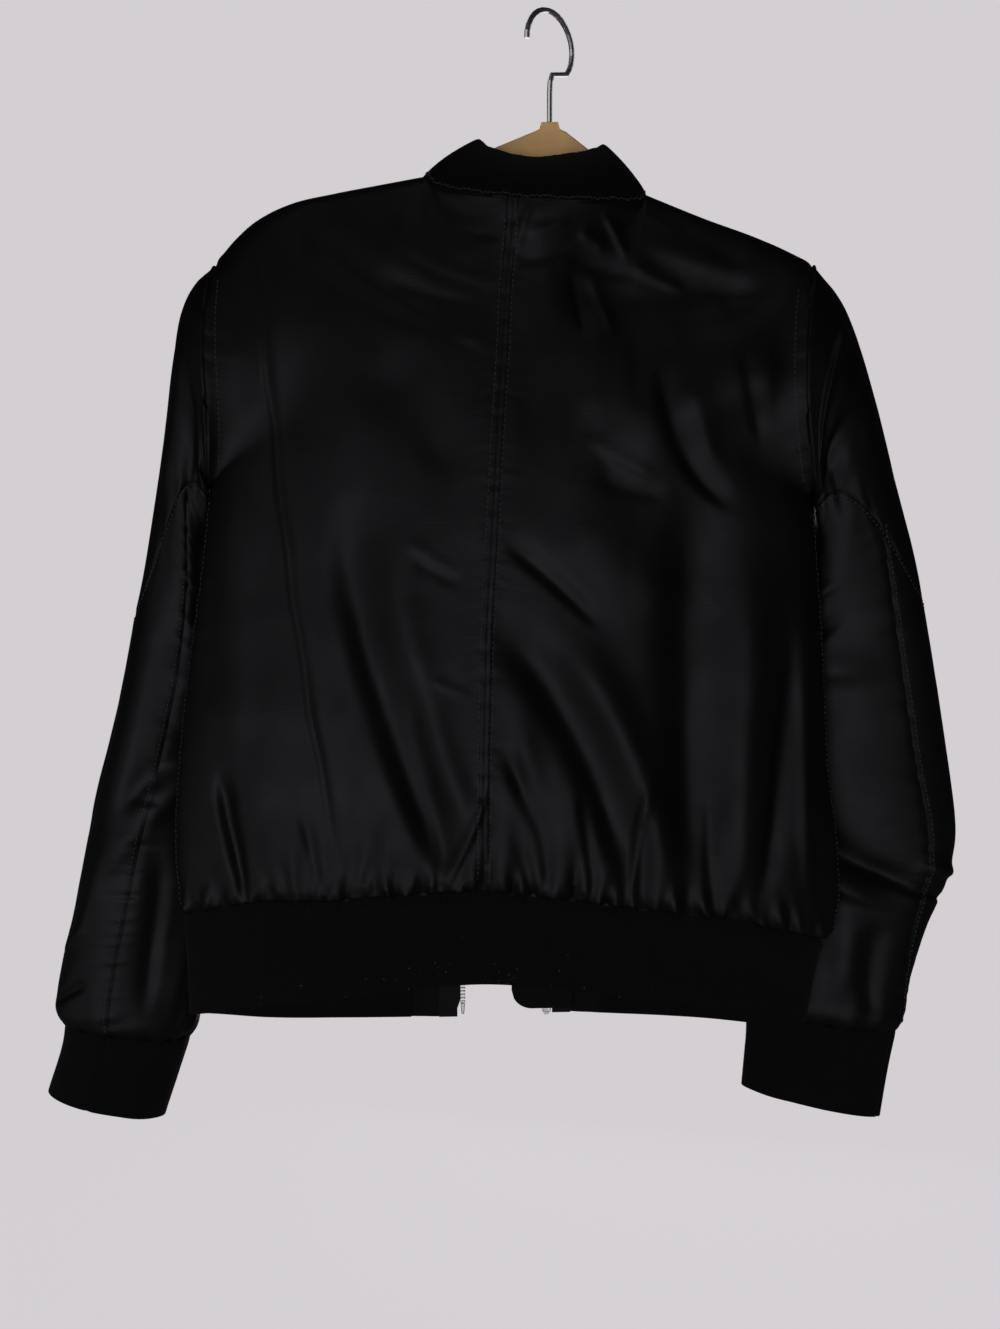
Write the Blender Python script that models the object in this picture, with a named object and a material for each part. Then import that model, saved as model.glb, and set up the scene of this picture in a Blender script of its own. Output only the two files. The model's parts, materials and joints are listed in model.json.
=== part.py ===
"""Satin bomber jacket hanging, unzipped, on a flocked hanger with a steel hook.

Frame: +Z is up, the back of the jacket faces -Y, its fronts face +Y and the wearer's left is -X.
The origin is the inside top of the hook, where a rail carries it. Tables are in millimetres.

Every cloth piece is a wall round a middle surface. Two surfaces carry them all:
  body    a closed shell, flat as hung, from the shoulder fold down to the bottom of the hem rib
  sleeve  a tube of oval rings from the armhole down to the end of the cuff
A panel is a range of one of them, so neighbours share their seams and stay a small gap apart.
"""
import math

import bpy
import numpy as np

MM = 0.001

# ---- cloth -------------------------------------------------------------------------------------
SATIN = 1.6                 # shell and lining together
RIB = 2.4                   # double layer of rib knit
TAPE = 1.0                  # woven zip tape
SEAM_GAP = 0.5              # between two pieces that are sewn together

# ---- body shell --------------------------------------------------------------------------------
HEM_END = 1.13              # row value at the bottom edge of the hem rib; 1 is the seam above it
UNDERARM = 0.335            # row value where the armhole closes
FILLET = 0.02               # row value down to which the cloth rounds over the hanger
ARMHOLE_DEPTH = 36.0        # half the armhole's opening, front to back
ARMHOLE_SOFTNESS = 2.0      # how soon the armhole's fullness dies out in the panel beside it
CROWN = 2.6                 # how flat a panel is across before it rounds into its side seam
NECK_CENTRE_X = -10.5
NECK_HALF_WIDTH = 80.5
NECK_DEPTH = 34.0           # from the shoulder fold to the neck seam, at the back and at the front
NECK_FADE = 0.5             # row value down to which the neck keeps the body deep
BACK_SEAM_ANGLE = 102.0     # where the centre-back seam meets the neck, as an angle round it
FRONT_END_ANGLE = 60.0      # where a front edge meets the neck, as an angle past the shoulder
TAB_WIDTH = 36.0            # satin end of the hem rib, beside the zip

# Down the body: row value, left side x, centre-back seam x, right side x, depth of the back and
# of the front from the shoulder fold's plane, and the x of the two front edges.
DOWN = [
    # row    left    seam   right   back  front  edge_l edge_r
    (0.00, -244.0, -27.0, 193.0,  9.0,  9.0, -51.0, 30.0),
    (0.06, -247.0, -29.0, 186.0, 15.0, 14.0, -52.0, 29.0),
    (0.13, -248.0, -32.0, 183.0, 22.0, 19.0, -54.0, 27.0),
    (0.21, -247.0, -34.0, 184.0, 28.0, 23.0, -56.0, 25.0),
    (0.27, -248.0, -36.0, 189.0, 31.0, 25.0, -58.0, 23.0),
    (0.335, -252.0, -38.0, 196.0, 34.0, 27.0, -59.0, 21.0),
    (0.45, -259.0, -41.0, 202.0, 36.0, 29.0, -61.0, 18.0),
    (0.60, -270.0, -45.0, 208.0, 38.0, 30.0, -64.0, 14.0),
    (0.75, -279.0, -47.0, 213.0, 40.0, 31.0, -67.0, 11.0),
    (0.87, -283.0, -48.0, 221.0, 41.0, 31.0, -69.0, 8.0),
    (0.95, -282.0, -48.0, 221.0, 39.0, 29.0, -70.0, 6.0),
    (1.00, -277.0, -48.0, 211.0, 33.0, 27.0, -70.0, 5.0),
    (1.13, -274.0, -47.0, 198.0, 30.0, 26.0, -70.0, 5.0),
]

# The shoulder fold, from the left shoulder point to the neck and from the neck to the right one.
FOLD_LEFT = [
    # x      z
    (-244.0, -180.0),
    (-237.0, -170.0),
    (-228.0, -160.0),
    (-217.0, -150.0),
    (-204.0, -142.0),
    (-190.0, -136.0),
    (-156.0, -128.0),
    (-124.0, -122.0),
    (-91.0, -116.0),
]
FOLD_RIGHT = [
    # x     z
    (70.0, -129.0),
    (80.0, -133.0),
    (113.0, -146.0),
    (152.0, -160.0),
    (171.0, -168.0),
    (185.0, -175.0),
    (193.0, -180.0),
]

# Round the neck: angle (0 right shoulder, 90 centre back, 180 left shoulder), height of the neck
# seam, and the collar's top edge above it.
NECK = [
    # angle  seam_z  top_x  top_y   top_z
    (-60.0, -205.0, 8.0, 30.0, -176.0),
    (-30.0, -174.0, 25.0, 20.0, -149.0),
    (0.0, -129.0, 39.0, 0.0, -95.0),
    (20.0, -136.0, 33.0, -8.0, -97.0),
    (45.0, -139.0, 21.0, -13.0, -101.0),
    (70.0, -140.0, 6.0, -16.0, -104.0),
    (90.0, -139.5, -7.0, -16.0, -105.5),
    (120.0, -135.0, -28.0, -14.0, -102.5),
    (150.0, -127.0, -44.0, -8.0, -96.0),
    (180.0, -116.0, -52.0, 0.0, -92.5),
    (210.0, -158.0, -46.0, 20.0, -133.0),
    (240.0, -200.0, -29.0, 30.0, -171.0),
]

# Along the hem: the seam above the rib and the rib's bottom edge, at the back and at the front.
HEM = [
    # x     back_seam back_end front_seam front_end
    (-280.0, -664.0, -742.0, -664.0, -742.0),
    (-220.0, -650.0, -729.0, -680.0, -751.0),
    (-160.0, -647.0, -721.0, -684.0, -753.0),
    (-100.0, -642.0, -713.0, -685.0, -753.0),
    (-48.0, -639.0, -709.0, -684.0, -752.0),
    (8.0, -645.0, -713.0, -681.0, -749.0),
    (60.0, -652.0, -721.0, -682.0, -750.0),
    (120.0, -660.0, -730.0, -684.0, -752.0),
    (170.0, -671.0, -739.0, -687.0, -755.0),
    (215.0, -684.0, -753.0, -688.0, -756.0),
]

# ---- sleeves -----------------------------------------------------------------------------------
# Each ring: its number down the sleeve, its outer point (under the shoulder) and its inner point
# (under the arm), and half its depth. Ring 0 is the armhole, 11 the cuff seam, 12 the cuff's end.
RINGS = {
    "left": [
        # ring  out_x   out_y  out_z   in_x   in_y   in_z    half
        (0.0, -244.0, 0.0, -180.0, -252.0, 0.0, -340.0, 36.0),
        (1.0, -264.0, 4.0, -201.0, -259.0, 16.0, -353.0, 39.0),
        (2.0, -276.0, 12.0, -238.0, -259.0, 36.0, -385.0, 40.0),
        (3.0, -286.0, 20.0, -291.0, -253.0, 52.0, -426.0, 40.0),
        (4.0, -299.0, 27.0, -357.0, -245.0, 61.0, -470.0, 39.0),
        (5.0, -314.0, 31.0, -427.0, -243.0, 65.0, -514.0, 38.0),
        (6.0, -331.0, 33.0, -497.0, -246.0, 66.0, -558.0, 38.0),
        (7.0, -348.0, 34.0, -560.0, -252.0, 65.0, -602.0, 37.0),
        (8.0, -361.0, 35.0, -614.0, -259.0, 63.0, -643.0, 36.0),
        (9.0, -372.0, 36.0, -662.0, -266.0, 60.0, -684.0, 34.0),
        (10.0, -383.0, 37.0, -712.0, -275.0, 57.0, -730.0, 32.0),
        (10.6, -386.0, 37.0, -744.0, -281.0, 55.0, -759.0, 31.0),
        (11.0, -382.0, 37.0, -762.0, -288.0, 54.0, -779.0, 25.0),
        (12.0, -396.0, 37.0, -817.0, -310.0, 52.0, -843.0, 24.0),
    ],
    "right": [
        # ring  out_x  out_y  out_z   in_x   in_y   in_z    half
        (0.0, 193.0, 0.0, -180.0, 196.0, 0.0, -350.0, 36.0),
        (1.0, 218.0, 4.0, -214.0, 203.0, 16.0, -363.0, 39.0),
        (2.0, 240.0, 9.0, -274.0, 200.0, 36.0, -396.0, 40.0),
        (3.0, 259.0, 14.0, -334.0, 188.0, 50.0, -440.0, 39.0),
        (4.0, 277.0, 18.0, -394.0, 174.0, 58.0, -482.0, 36.0),
        (5.0, 294.0, 22.0, -471.0, 165.0, 60.0, -525.0, 32.0),
        (6.0, 309.0, 25.0, -548.0, 162.0, 60.0, -570.0, 28.0),
        (7.0, 318.0, 27.0, -602.0, 163.0, 59.0, -610.0, 25.0),
        (8.0, 313.0, 29.0, -642.0, 160.0, 58.0, -645.0, 24.0),
        (9.0, 299.0, 31.0, -682.0, 158.0, 56.0, -682.0, 23.0),
        (10.0, 288.0, 32.0, -722.0, 157.0, 54.0, -720.0, 23.0),
        (10.6, 284.0, 33.0, -748.0, 158.0, 53.0, -742.0, 22.0),
        (11.0, 278.0, 34.0, -767.0, 163.0, 52.0, -757.0, 18.5),
        (12.0, 266.0, 34.0, -836.0, 161.0, 50.0, -818.0, 17.5),
    ],
}
CUFF_SEAM = 11.0
CUFF_END = 12.0
ARMHOLE_STANDOFF = 1.5      # the sleeve's first ring lies this far outside the panels' edge
BOW_RINGS = 3.0             # rings over which the armhole's inward curve dies out

# The slanting seam below the shoulder cap: ring number at each angle round the sleeve
# (0 outer fold, 90 facing back or front, 180 under the arm).
CAP_SEAM = {
    "left": [(0.0, 5.3), (35.0, 4.7), (60.0, 3.7), (100.0, 2.3), (150.0, 1.3), (180.0, 1.1)],
    "right": [(0.0, 4.6), (35.0, 4.0), (60.0, 3.1), (100.0, 2.0), (150.0, 1.2), (180.0, 1.0)],
}
# The elbow seam down the back of the sleeve: angle at each ring.
ELBOW_SEAM = {
    "left": [(0.0, 90.0), (4.0, 90.0), (6.0, 87.0), (8.0, 83.0), (11.0, 82.0)],
    "right": [(0.0, 54.0), (4.0, 54.0), (6.0, 50.0), (8.4, 40.0), (9.5, 32.0), (11.0, 16.0)],
}

# ---- zip ---------------------------------------------------------------------------------------
TAPE_UNDER = 14.0           # how far the tape runs in under the front edge
TAPE_OUT = 2.7              # and how far it shows beyond the edge
TAPE_TUCK = 0.3             # the same beside the box and the pin
LAYER_GAP = 0.8             # between one layer and the next
CHAIN_IN = 3.0
CHAIN_OUT = 6.2
CHAIN_DEPTH = 2.6
FLAP_OUT = 32.0             # wind flap behind the right half of the zip
FLAP_UNDER = 15.0
FLAP_CORNER = 16.0
SLIDER_WIDE = 8.0
SLIDER_NARROW = 6.0
SLIDER_HEIGHT = 11.0
SLIDER_DEPTH = 4.6
BOX_SIZE = (6.5, 3.8, 9.0)
PIN_SIZE = (3.4, 3.0, 9.0)
BRIDGE_WIDTH = 1.8
BRIDGE_REACH = 3.0          # legs of the slider's bridge, above and below the pull's axis
BRIDGE_WIRE = 1.6
PULL_LENGTH = 20.0
PULL_WIDTH = 7.0
PULL_THICK = 1.2
PULL_EYE = (4.2, 5.6)       # opening that the bridge passes through

# ---- hanger ------------------------------------------------------------------------------------
HANGER_THICK = 6.0
HANGER_CHAMFER = 1.5
# Along the hanger: x, height of its upper edge, and how deep the arm is below it.
HANGER = [
    # x      top_z  depth
    (-207.0, -151.0, 6.0),
    (-203.0, -147.5, 10.0),
    (-190.0, -141.0, 13.0),
    (-156.0, -132.5, 15.0),
    (-124.0, -126.5, 16.0),
    (-88.0, -122.0, 18.0),
    (-62.0, -107.0, 26.0),
    (-43.0, -96.0, 33.0),
    (-12.0, -83.5, 42.0),
    (-7.5, -81.5, 44.0),
    (-6.0, -76.5, 49.0),
    (6.0, -76.5, 49.0),
    (7.5, -81.5, 44.0),
    (12.0, -83.5, 42.0),
    (31.0, -98.0, 30.0),
    (50.0, -118.0, 22.0),
    (70.0, -139.0, 16.0),
    (113.0, -151.5, 15.0),
    (152.0, -165.0, 15.0),
    (172.0, -173.5, 12.0),
    (183.0, -180.5, 9.0),
    (187.0, -184.0, 6.0),
]
WIRE_RADIUS = 2.0
HOOK_RADIUS = 24.0          # to the middle of the wire
HOOK_TURN = 45.0            # degrees that the hook stands turned out of the hanger's plane
HOOK_START = -42.0          # degrees on the circle where the stem's kink joins it
HOOK_SWEEP = 225.0
STEM_BEND_Z = -44.0
STEM_FOOT_Z = -76.2


# ---- tables ------------------------------------------------------------------------------------
def track(rows, first=1, last=None):
    """A smooth curve through a table's rows: its columns as a function of the first column."""
    data = np.array(rows, dtype=float)
    keys = data[:, 0]
    values = data[:, first:last]
    slopes = np.gradient(values, keys, axis=0)

    def read(at):
        at = np.clip(np.asarray(at, dtype=float), keys[0], keys[-1])
        low = np.clip(np.searchsorted(keys, at, side="right") - 1, 0, len(keys) - 2)
        span = (keys[low + 1] - keys[low])[..., None]
        share = (at - keys[low])[..., None] / span
        square = share * share
        cube = square * share
        return (values[low] * (2 * cube - 3 * square + 1) + values[low + 1] * (3 * square - 2 * cube)
                + slopes[low] * span * (cube - 2 * square + share)
                + slopes[low + 1] * span * (cube - square))

    return read


down = track(DOWN)
fold_left = track(FOLD_LEFT)
fold_right = track(FOLD_RIGHT)
neck = track(NECK)
hem = track(HEM)
rings = {side: track(rows) for side, rows in RINGS.items()}
cap_seam = {side: track(rows) for side, rows in CAP_SEAM.items()}
elbow_seam = {side: track(rows) for side, rows in ELBOW_SEAM.items()}
SIDE_COLUMN = {"left": 0, "right": 2}
EDGE_COLUMN = {"left": 5, "right": 6}
BACK, FRONT = -1, 1


# ---- body surface ------------------------------------------------------------------------------
def row_value(step):
    """Row value at a step: 0 to 1 rounds over the fold, 1 to 2 goes on to the hem seam."""
    step = np.asarray(step, dtype=float)
    rounding = FILLET * (1 - np.cos(np.clip(step, -1, 1) * math.pi / 2))
    return np.where(step < 1, rounding, FILLET + (step - 1) * (1 - FILLET))


def step_of(row):
    """The step that gives a row value."""
    if row < FILLET:
        return math.acos(1 - row / FILLET) * 2 / math.pi
    return 1 + (row - FILLET) / (1 - FILLET)


def across(angle):
    """Share of the way from the centre-back seam to the side at an angle of the cross-section."""
    return np.abs(np.sin(np.radians(angle))) ** (2 / CROWN)


def angle_of(share):
    return np.degrees(np.arcsin(np.clip(share, 0, 1) ** (CROWN / 2)))


def neck_angle(x, face):
    """Angle round the neck at x: the back half is 0 to 180, the front half lies past both ends."""
    cosine = np.clip((x - NECK_CENTRE_X) / NECK_HALF_WIDTH, -1, 1)
    angle = np.degrees(np.arccos(cosine))
    if face == BACK:
        return angle
    return np.where(x < NECK_CENTRE_X, 360 - angle, -angle)


def top_line(x, face):
    """Height of a panel's top edge: the shoulder fold, and between its ends the neck seam."""
    around = neck(neck_angle(x, face))[..., 0]
    left = fold_left(x)[..., 0]
    right = fold_right(x)[..., 0]
    return np.where(x < FOLD_LEFT[-1][0], left, np.where(x > FOLD_RIGHT[0][0], right, around))


def body(face, side, angle, step):
    """Middle surface of the body: angle 0 at the centre-back seam and 90 at the side."""
    row = row_value(step)
    columns = down(row)
    top = down(np.zeros_like(row))
    seam_row = down(np.ones_like(row))
    end_row = down(np.full_like(row, HEM_END))
    share = across(angle)
    column = SIDE_COLUMN[side]

    def x_on(table_row):
        return table_row[..., 1] + share * (table_row[..., column] - table_row[..., 1])

    x = x_on(columns)
    upper = top_line(x_on(top), face)
    seam_z = hem(x_on(seam_row))[..., 0 if face == BACK else 2]
    end_z = hem(x_on(end_row))[..., 1 if face == BACK else 3]
    on_body = np.clip(row, 0, 1)
    on_rib = (row - on_body) / (HEM_END - 1)
    z = upper + (seam_z - upper) * on_body + (end_z - seam_z) * on_rib

    rounding = np.where(step < 1, np.sin(np.clip(step, -1, 1) * math.pi / 2), 1)
    middle = columns[..., 3 if face == BACK else 4] * rounding
    part = np.clip(row / UNDERARM, 0, 1)
    inward = np.cos(np.radians(angle))
    fall = 0.5 + np.where(part > 0.5, ARMHOLE_SOFTNESS * np.abs(inward), 0)
    armhole = ARMHOLE_DEPTH * (4 * part * (1 - part)) ** fall
    depth = armhole * np.sign(step) * (1 - inward) + middle * inward
    around = np.radians(neck_angle(x_on(top), BACK))
    fade = np.clip(1 - row / NECK_FADE, 0, 1) ** 2
    depth = np.hypot(depth, NECK_DEPTH * np.sin(around) * fade) * np.sign(depth)
    return np.stack([x, face * depth, z], axis=-1)


# ---- sleeve surface ----------------------------------------------------------------------------
def sleeve(side, ring, angle):
    """Middle surface of a sleeve: angle 0 at its outer fold, 90 facing back, -90 facing front."""
    ring = np.asarray(ring, dtype=float)
    columns = rings[side](ring)
    share = ((1 - np.cos(np.radians(angle))) / 2)[..., None]
    point = columns[..., 0:3] + (columns[..., 3:6] - columns[..., 0:3]) * share
    point[..., 1] -= columns[..., 6] * np.sin(np.radians(angle))
    row = UNDERARM * share[..., 0]
    edge_x = down(row)[..., SIDE_COLUMN[side]]
    first = rings[side](np.zeros_like(ring))
    straight_x = first[..., 0] + (first[..., 3] - first[..., 0]) * share[..., 0]
    fade = np.clip(1 - ring / BOW_RINGS, 0, 1) ** 2
    clear = ARMHOLE_STANDOFF if side == "right" else -ARMHOLE_STANDOFF
    point[..., 0] += (edge_x + clear - straight_x) * fade
    return point


# ---- walls -------------------------------------------------------------------------------------
def normals(surface, first, second):
    """Unit normals of a surface, from small steps in its two parameters."""
    nudge = 1e-3
    along = surface(first + nudge, second) - surface(first - nudge, second)
    over = surface(first, second + nudge) - surface(first, second - nudge)
    cross = np.cross(along, over)
    return cross / np.linalg.norm(cross, axis=-1, keepdims=True)


def mesh_object(name, points, faces, material):
    mesh = bpy.data.meshes.new(name)
    mesh.from_pydata([tuple(MM * np.asarray(point)) for point in points], [], faces)
    mesh.materials.append(material)
    mesh.update()
    made = bpy.data.objects.new(name, mesh)
    bpy.context.collection.objects.link(made)
    return made


def faces_out(middle, out):
    """True where a grid's quads, taken rows first, turn the way that its normals point."""
    i, j = middle.shape[0] // 2, middle.shape[1] // 2
    down_rows = middle[i, j] - middle[i - 1, j]
    over_columns = middle[i - 1, j] - middle[i - 1, j - 1]
    return np.dot(np.cross(down_rows, over_columns), out[i, j]) > 0


def wall(name, surface, first, second, thick, material, tube=False):
    """A cloth wall round a surface, on the grid of its parameters; a tube closes on itself."""
    first, second = np.broadcast_arrays(np.asarray(first, float), np.asarray(second, float))
    middle = surface(first, second)
    out = normals(surface, first, second) * thick / 2
    forward = faces_out(middle, out)
    rows, columns = first.shape
    points = np.concatenate([(middle + out).reshape(-1, 3), (middle - out).reshape(-1, 3)])
    inner = rows * columns
    spans = columns if tube else columns - 1
    faces = []

    def quad(a, b, c, d):
        faces.append((a, b, c, d) if forward else (d, c, b, a))

    for i in range(rows - 1):
        for j in range(spans):
            here, right = i * columns + j, i * columns + (j + 1) % columns
            quad(here, here + columns, right + columns, right)
            quad(inner + here, inner + right, inner + right + columns, inner + here + columns)
    last = (rows - 1) * columns
    for j in range(spans):
        k = (j + 1) % columns
        quad(j, k, inner + k, inner + j)
        quad(last + j, inner + last + j, inner + last + k, last + k)
    if not tube:
        end = columns - 1
        for i in range(rows - 1):
            a, b = i * columns, (i + 1) * columns
            quad(a, inner + a, inner + b, b)
            quad(a + end, b + end, inner + b + end, inner + a + end)
    return mesh_object(name, points, faces, material)


def spread(start, end, count):
    return np.linspace(start, end, count)


# ---- panels of the body ------------------------------------------------------------------------
RING_STEPS = 20             # straight stretches round a sleeve
ARMHOLE_ROWS = [UNDERARM * (1 - math.cos(2 * math.pi * k / RING_STEPS)) / 2 for k in range(1, 11)]
LOWER_ROWS = [0.40, 0.48, 0.58, 0.69, 0.80, 0.90, 0.96]
SIDE_ANGLES = [40.0, 50.0, 60.0, 70.0, 79.0, 86.0]


def seam_step():
    """The step at which a panel stops just short of the shoulder fold."""
    return SEAM_GAP / 2 / (DOWN[0][4] * math.pi / 2)


def side_end(depth):
    """The angle at which a panel stops just short of the side seam."""
    return 90 - math.degrees(SEAM_GAP / 2 / depth)


def neck_shares(side, angles):
    """Shares of the way to the side that meet the neck at the given angles round it."""
    x = NECK_CENTRE_X + NECK_HALF_WIDTH * np.cos(np.radians(angles))
    seam_x, side_x = DOWN[0][2], DOWN[0][1 + SIDE_COLUMN[side]]
    return (x - seam_x) / (side_x - seam_x)


def body_steps():
    rows = ARMHOLE_ROWS + LOWER_ROWS
    steps = [seam_step(), 0.35] + [step_of(row) for row in rows] + [step_of(1 - SEAM_GAP / 1000)]
    return np.array(steps)[:, None]


def rib_steps(depth_steps=3):
    return spread(step_of(1 + SEAM_GAP / 1000), step_of(HEM_END), depth_steps + 1)[:, None]


def back_angles(side):
    """Columns of a back panel: the neck's own points, then steps on to the side seam."""
    shoulder = 180.0 if side == "left" else 0.0
    around = spread(BACK_SEAM_ANGLE, shoulder, 7)[1:]
    at_neck = angle_of(neck_shares(side, around))
    beyond = [angle for angle in SIDE_ANGLES if angle > at_neck[-1] + 4]
    return np.concatenate([at_neck, beyond, [side_end(33.0)]])


def make_back(side, material):
    start = angle_of(SEAM_GAP / 2 / 220.0)
    angles = np.concatenate([[start], back_angles(side)])[None, :]

    def surface(angle, step):
        return body(BACK, side, angle, step)

    return wall("back_" + side, surface, angles, body_steps(), SATIN, material)


def tab_share(side):
    """Share of the way from the front edge to the side that the satin end of the hem takes."""
    row = DOWN[-1]
    return TAB_WIDTH / abs(row[1 + SIDE_COLUMN[side]] - row[1 + EDGE_COLUMN[side]])


def front_shares(side):
    """Columns of a front as shares from its edge to the side, with one at the hem's satin end."""
    end, shoulder = (180 + FRONT_END_ANGLE, 180.0) if side == "left" else (-FRONT_END_ANGLE, 0.0)
    shares = neck_shares(side, spread(end, shoulder, 6))
    past_neck = across(np.array(SIDE_ANGLES))
    past_neck = past_neck[past_neck > shares[-1] + 0.04]
    shares = np.concatenate([shares, past_neck, [across(side_end(27.0))]])
    shares = (shares - shares[0]) / (1 - shares[0])
    return np.sort(np.append(shares, tab_share(side)))


def front_angles(side, steps, shares):
    """Angles of the front's columns, squeezed between the sloping front edge and the side."""
    columns = down(row_value(steps))
    seam_x = columns[..., 1]
    edge = (columns[..., EDGE_COLUMN[side]] - seam_x) / (columns[..., SIDE_COLUMN[side]] - seam_x)
    return angle_of(edge + (1 - edge) * shares)


def front_wall(name, side, shares, steps, thick, material):
    angles = front_angles(side, steps, shares[None, :])

    def surface(angle, step):
        return body(FRONT, side, angle, step)

    return wall(name, surface, angles, steps, thick, material)


def make_front(side, material):
    return front_wall("front_" + side, side, front_shares(side), body_steps(), SATIN, material)


def make_hem_back(material):
    """One rib band from side seam to side seam: negative angles are the left half."""
    angles = np.concatenate([-back_angles("left")[::-1], [0.0], back_angles("right")])[None, :]

    def surface(angle, step):
        left = body(BACK, "left", np.abs(angle), step)
        right = body(BACK, "right", np.abs(angle), step)
        return np.where((angle < 0)[..., None], left, right)

    return wall("hem_rib_back", surface, angles, rib_steps(), RIB, material)


def make_hem_front(side, rib, satin):
    """The rib of one front and the satin end between it and the zip."""
    shares = front_shares(side)
    end = tab_share(side)
    tab = shares[shares <= end]
    band = shares[shares >= end]
    band[0] += SEAM_GAP / 200
    front_wall("hem_tab_" + side, side, tab, rib_steps(), SATIN, satin)
    front_wall("hem_rib_front_" + side, side, band, rib_steps(), RIB, rib)


# ---- collar ------------------------------------------------------------------------------------
COLLAR_SWELL = 3.0          # how far the rib bows outward halfway up


def collar_surface(angle, rise):
    """Middle surface of the collar: angle round the neck, rise 0 at its seam and 1 at its top."""
    columns = neck(angle)
    turn = np.radians(angle)
    seam = np.stack([NECK_CENTRE_X + NECK_HALF_WIDTH * np.cos(turn), -NECK_DEPTH * np.sin(turn),
                     columns[..., 0]], axis=-1)
    rise = np.asarray(rise, dtype=float)[..., None]
    swell = COLLAR_SWELL * 4 * rise * (1 - rise)
    outward = np.stack([np.cos(turn), -np.sin(turn), 0 * turn], axis=-1)
    return seam + (columns[..., 1:4] - seam) * rise + outward * swell


def make_collar(material):
    angles = np.concatenate([spread(-FRONT_END_ANGLE, 0, 6), spread(0, BACK_SEAM_ANGLE, 7)[1:],
                             spread(BACK_SEAM_ANGLE, 180, 7)[1:],
                             spread(180, 180 + FRONT_END_ANGLE, 6)[1:]])[None, :]
    rises = np.array([0.055, 0.35, 0.7, 1.0])[:, None]
    return wall("collar", collar_surface, angles, rises, RIB, material)


# ---- sleeves -----------------------------------------------------------------------------------
ARMHOLE_GAP = 0.07          # rings left free beside the body panels
CAP_SEAM_GAP = 0.02         # rings left free on each side of the cap seam
PANEL_GAP = 0.3             # degrees left free on each side of a lengthwise seam
CAP_ROWS = 4
LOWER_SLEEVE_ROWS = 8


def make_sleeve_head(side, material):
    angles = spread(0, 360, RING_STEPS + 1)[None, :-1]
    folded = np.where(angles > 180, 360 - angles, angles)
    bottom = cap_seam[side](folded)[..., 0] - CAP_SEAM_GAP
    shares = spread(0, 1, CAP_ROWS + 1)[:, None]
    ring = ARMHOLE_GAP + (bottom - ARMHOLE_GAP) * shares

    def surface(ring_number, angle):
        return sleeve(side, ring_number, angle)

    name = "sleeve_" + side + "_head"
    return wall(name, surface, ring, angles + 0 * ring, SATIN, material, True)


def lower_grid(side, start, end):
    """Rings and angles of a panel below the cap seam, between two curves of angle.

    Its columns leave the cap seam at the cap's own angles, so that both edges run together.
    """
    low, high = round(float(start(1.0))), round(float(end(1.0)))
    columns = (np.arange(low, high + 1, 360 // RING_STEPS) - low)[None, :] / (high - low)
    shares = spread(0, 1, LOWER_SLEEVE_ROWS + 1)[:, None]
    ring = 4 + (CUFF_SEAM - 4) * shares + 0 * columns
    for _ in range(6):
        angle = start(ring) + (end(ring) - start(ring)) * columns
        top = cap_seam[side](np.abs(angle))[..., 0] + CAP_SEAM_GAP
        ring = top + (CUFF_SEAM - CAP_SEAM_GAP - top) * shares
    return ring, angle


def make_sleeve_panel(side, panel, material):
    """The under panel lies behind, between the elbow seam and the underarm; the top is the rest."""
    def seam(ring):
        return elbow_seam[side](ring)[..., 0]

    def under_start(ring):
        return seam(ring) + PANEL_GAP

    def under_end(ring):
        return 180 - PANEL_GAP + 0 * np.asarray(ring)

    def top_start(ring):
        return -180 + PANEL_GAP + 0 * np.asarray(ring)

    def top_end(ring):
        return seam(ring) - PANEL_GAP

    limits = (under_start, under_end) if panel == "under" else (top_start, top_end)
    ring, angle = lower_grid(side, *limits)

    def surface(ring_number, angle_round):
        return sleeve(side, ring_number, angle_round)

    return wall("sleeve_" + side + "_" + panel, surface, ring, angle, SATIN, material)


def make_cuff(side, material):
    angles = spread(0, 360, RING_STEPS + 1)[None, :-1]
    ring = spread(CUFF_SEAM + 0.02, CUFF_END, 4)[:, None]

    def surface(ring_number, angle):
        return sleeve(side, ring_number, angle)

    return wall("cuff_" + side, surface, ring + 0 * angles, angles + 0 * ring, RIB, material,
                True)


# ---- zip ---------------------------------------------------------------------------------------
def edge_frame(side, step):
    """Front edge of a panel: its point, the way out past the edge, and the way out of the cloth."""
    step = np.asarray(step, dtype=float)
    angle = front_angles(side, step, 0.0)

    def surface(angle_across, step_down):
        return body(FRONT, side, angle_across, step_down)

    point = surface(angle, step)
    outward = surface(angle, step) - surface(angle + 0.5, step)
    outward = outward / np.linalg.norm(outward, axis=-1, keepdims=True)
    face = normals(surface, angle, step)
    return point, outward, face * np.sign(face[..., 1:2])


def beside_edge(side, lift):
    """A surface beside a front edge: distance out past the edge, step down, held at a lift."""
    def surface(distance, step):
        point, outward, face = edge_frame(side, step)
        return point + outward * np.asarray(distance)[..., None] + face * lift

    return surface


TAPE_LIFT = -(SATIN / 2 + LAYER_GAP + TAPE / 2)
FLAP_LIFT = TAPE_LIFT - SLIDER_DEPTH / 2 - LAYER_GAP - SATIN / 2
BOTTOM_STEP = step_of(HEM_END)
CHAIN_END = {"left": BOTTOM_STEP - 0.022, "right": BOTTOM_STEP - 0.046}


def zip_steps(end):
    """The panel's own rows down to an end, so that what lies under it keeps its distance."""
    rows = np.concatenate([body_steps()[2:-1, 0], [step_of(1.0)], rib_steps()[1:, 0]])
    return np.append(rows[rows < end - 0.004], end)[:, None]


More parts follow.
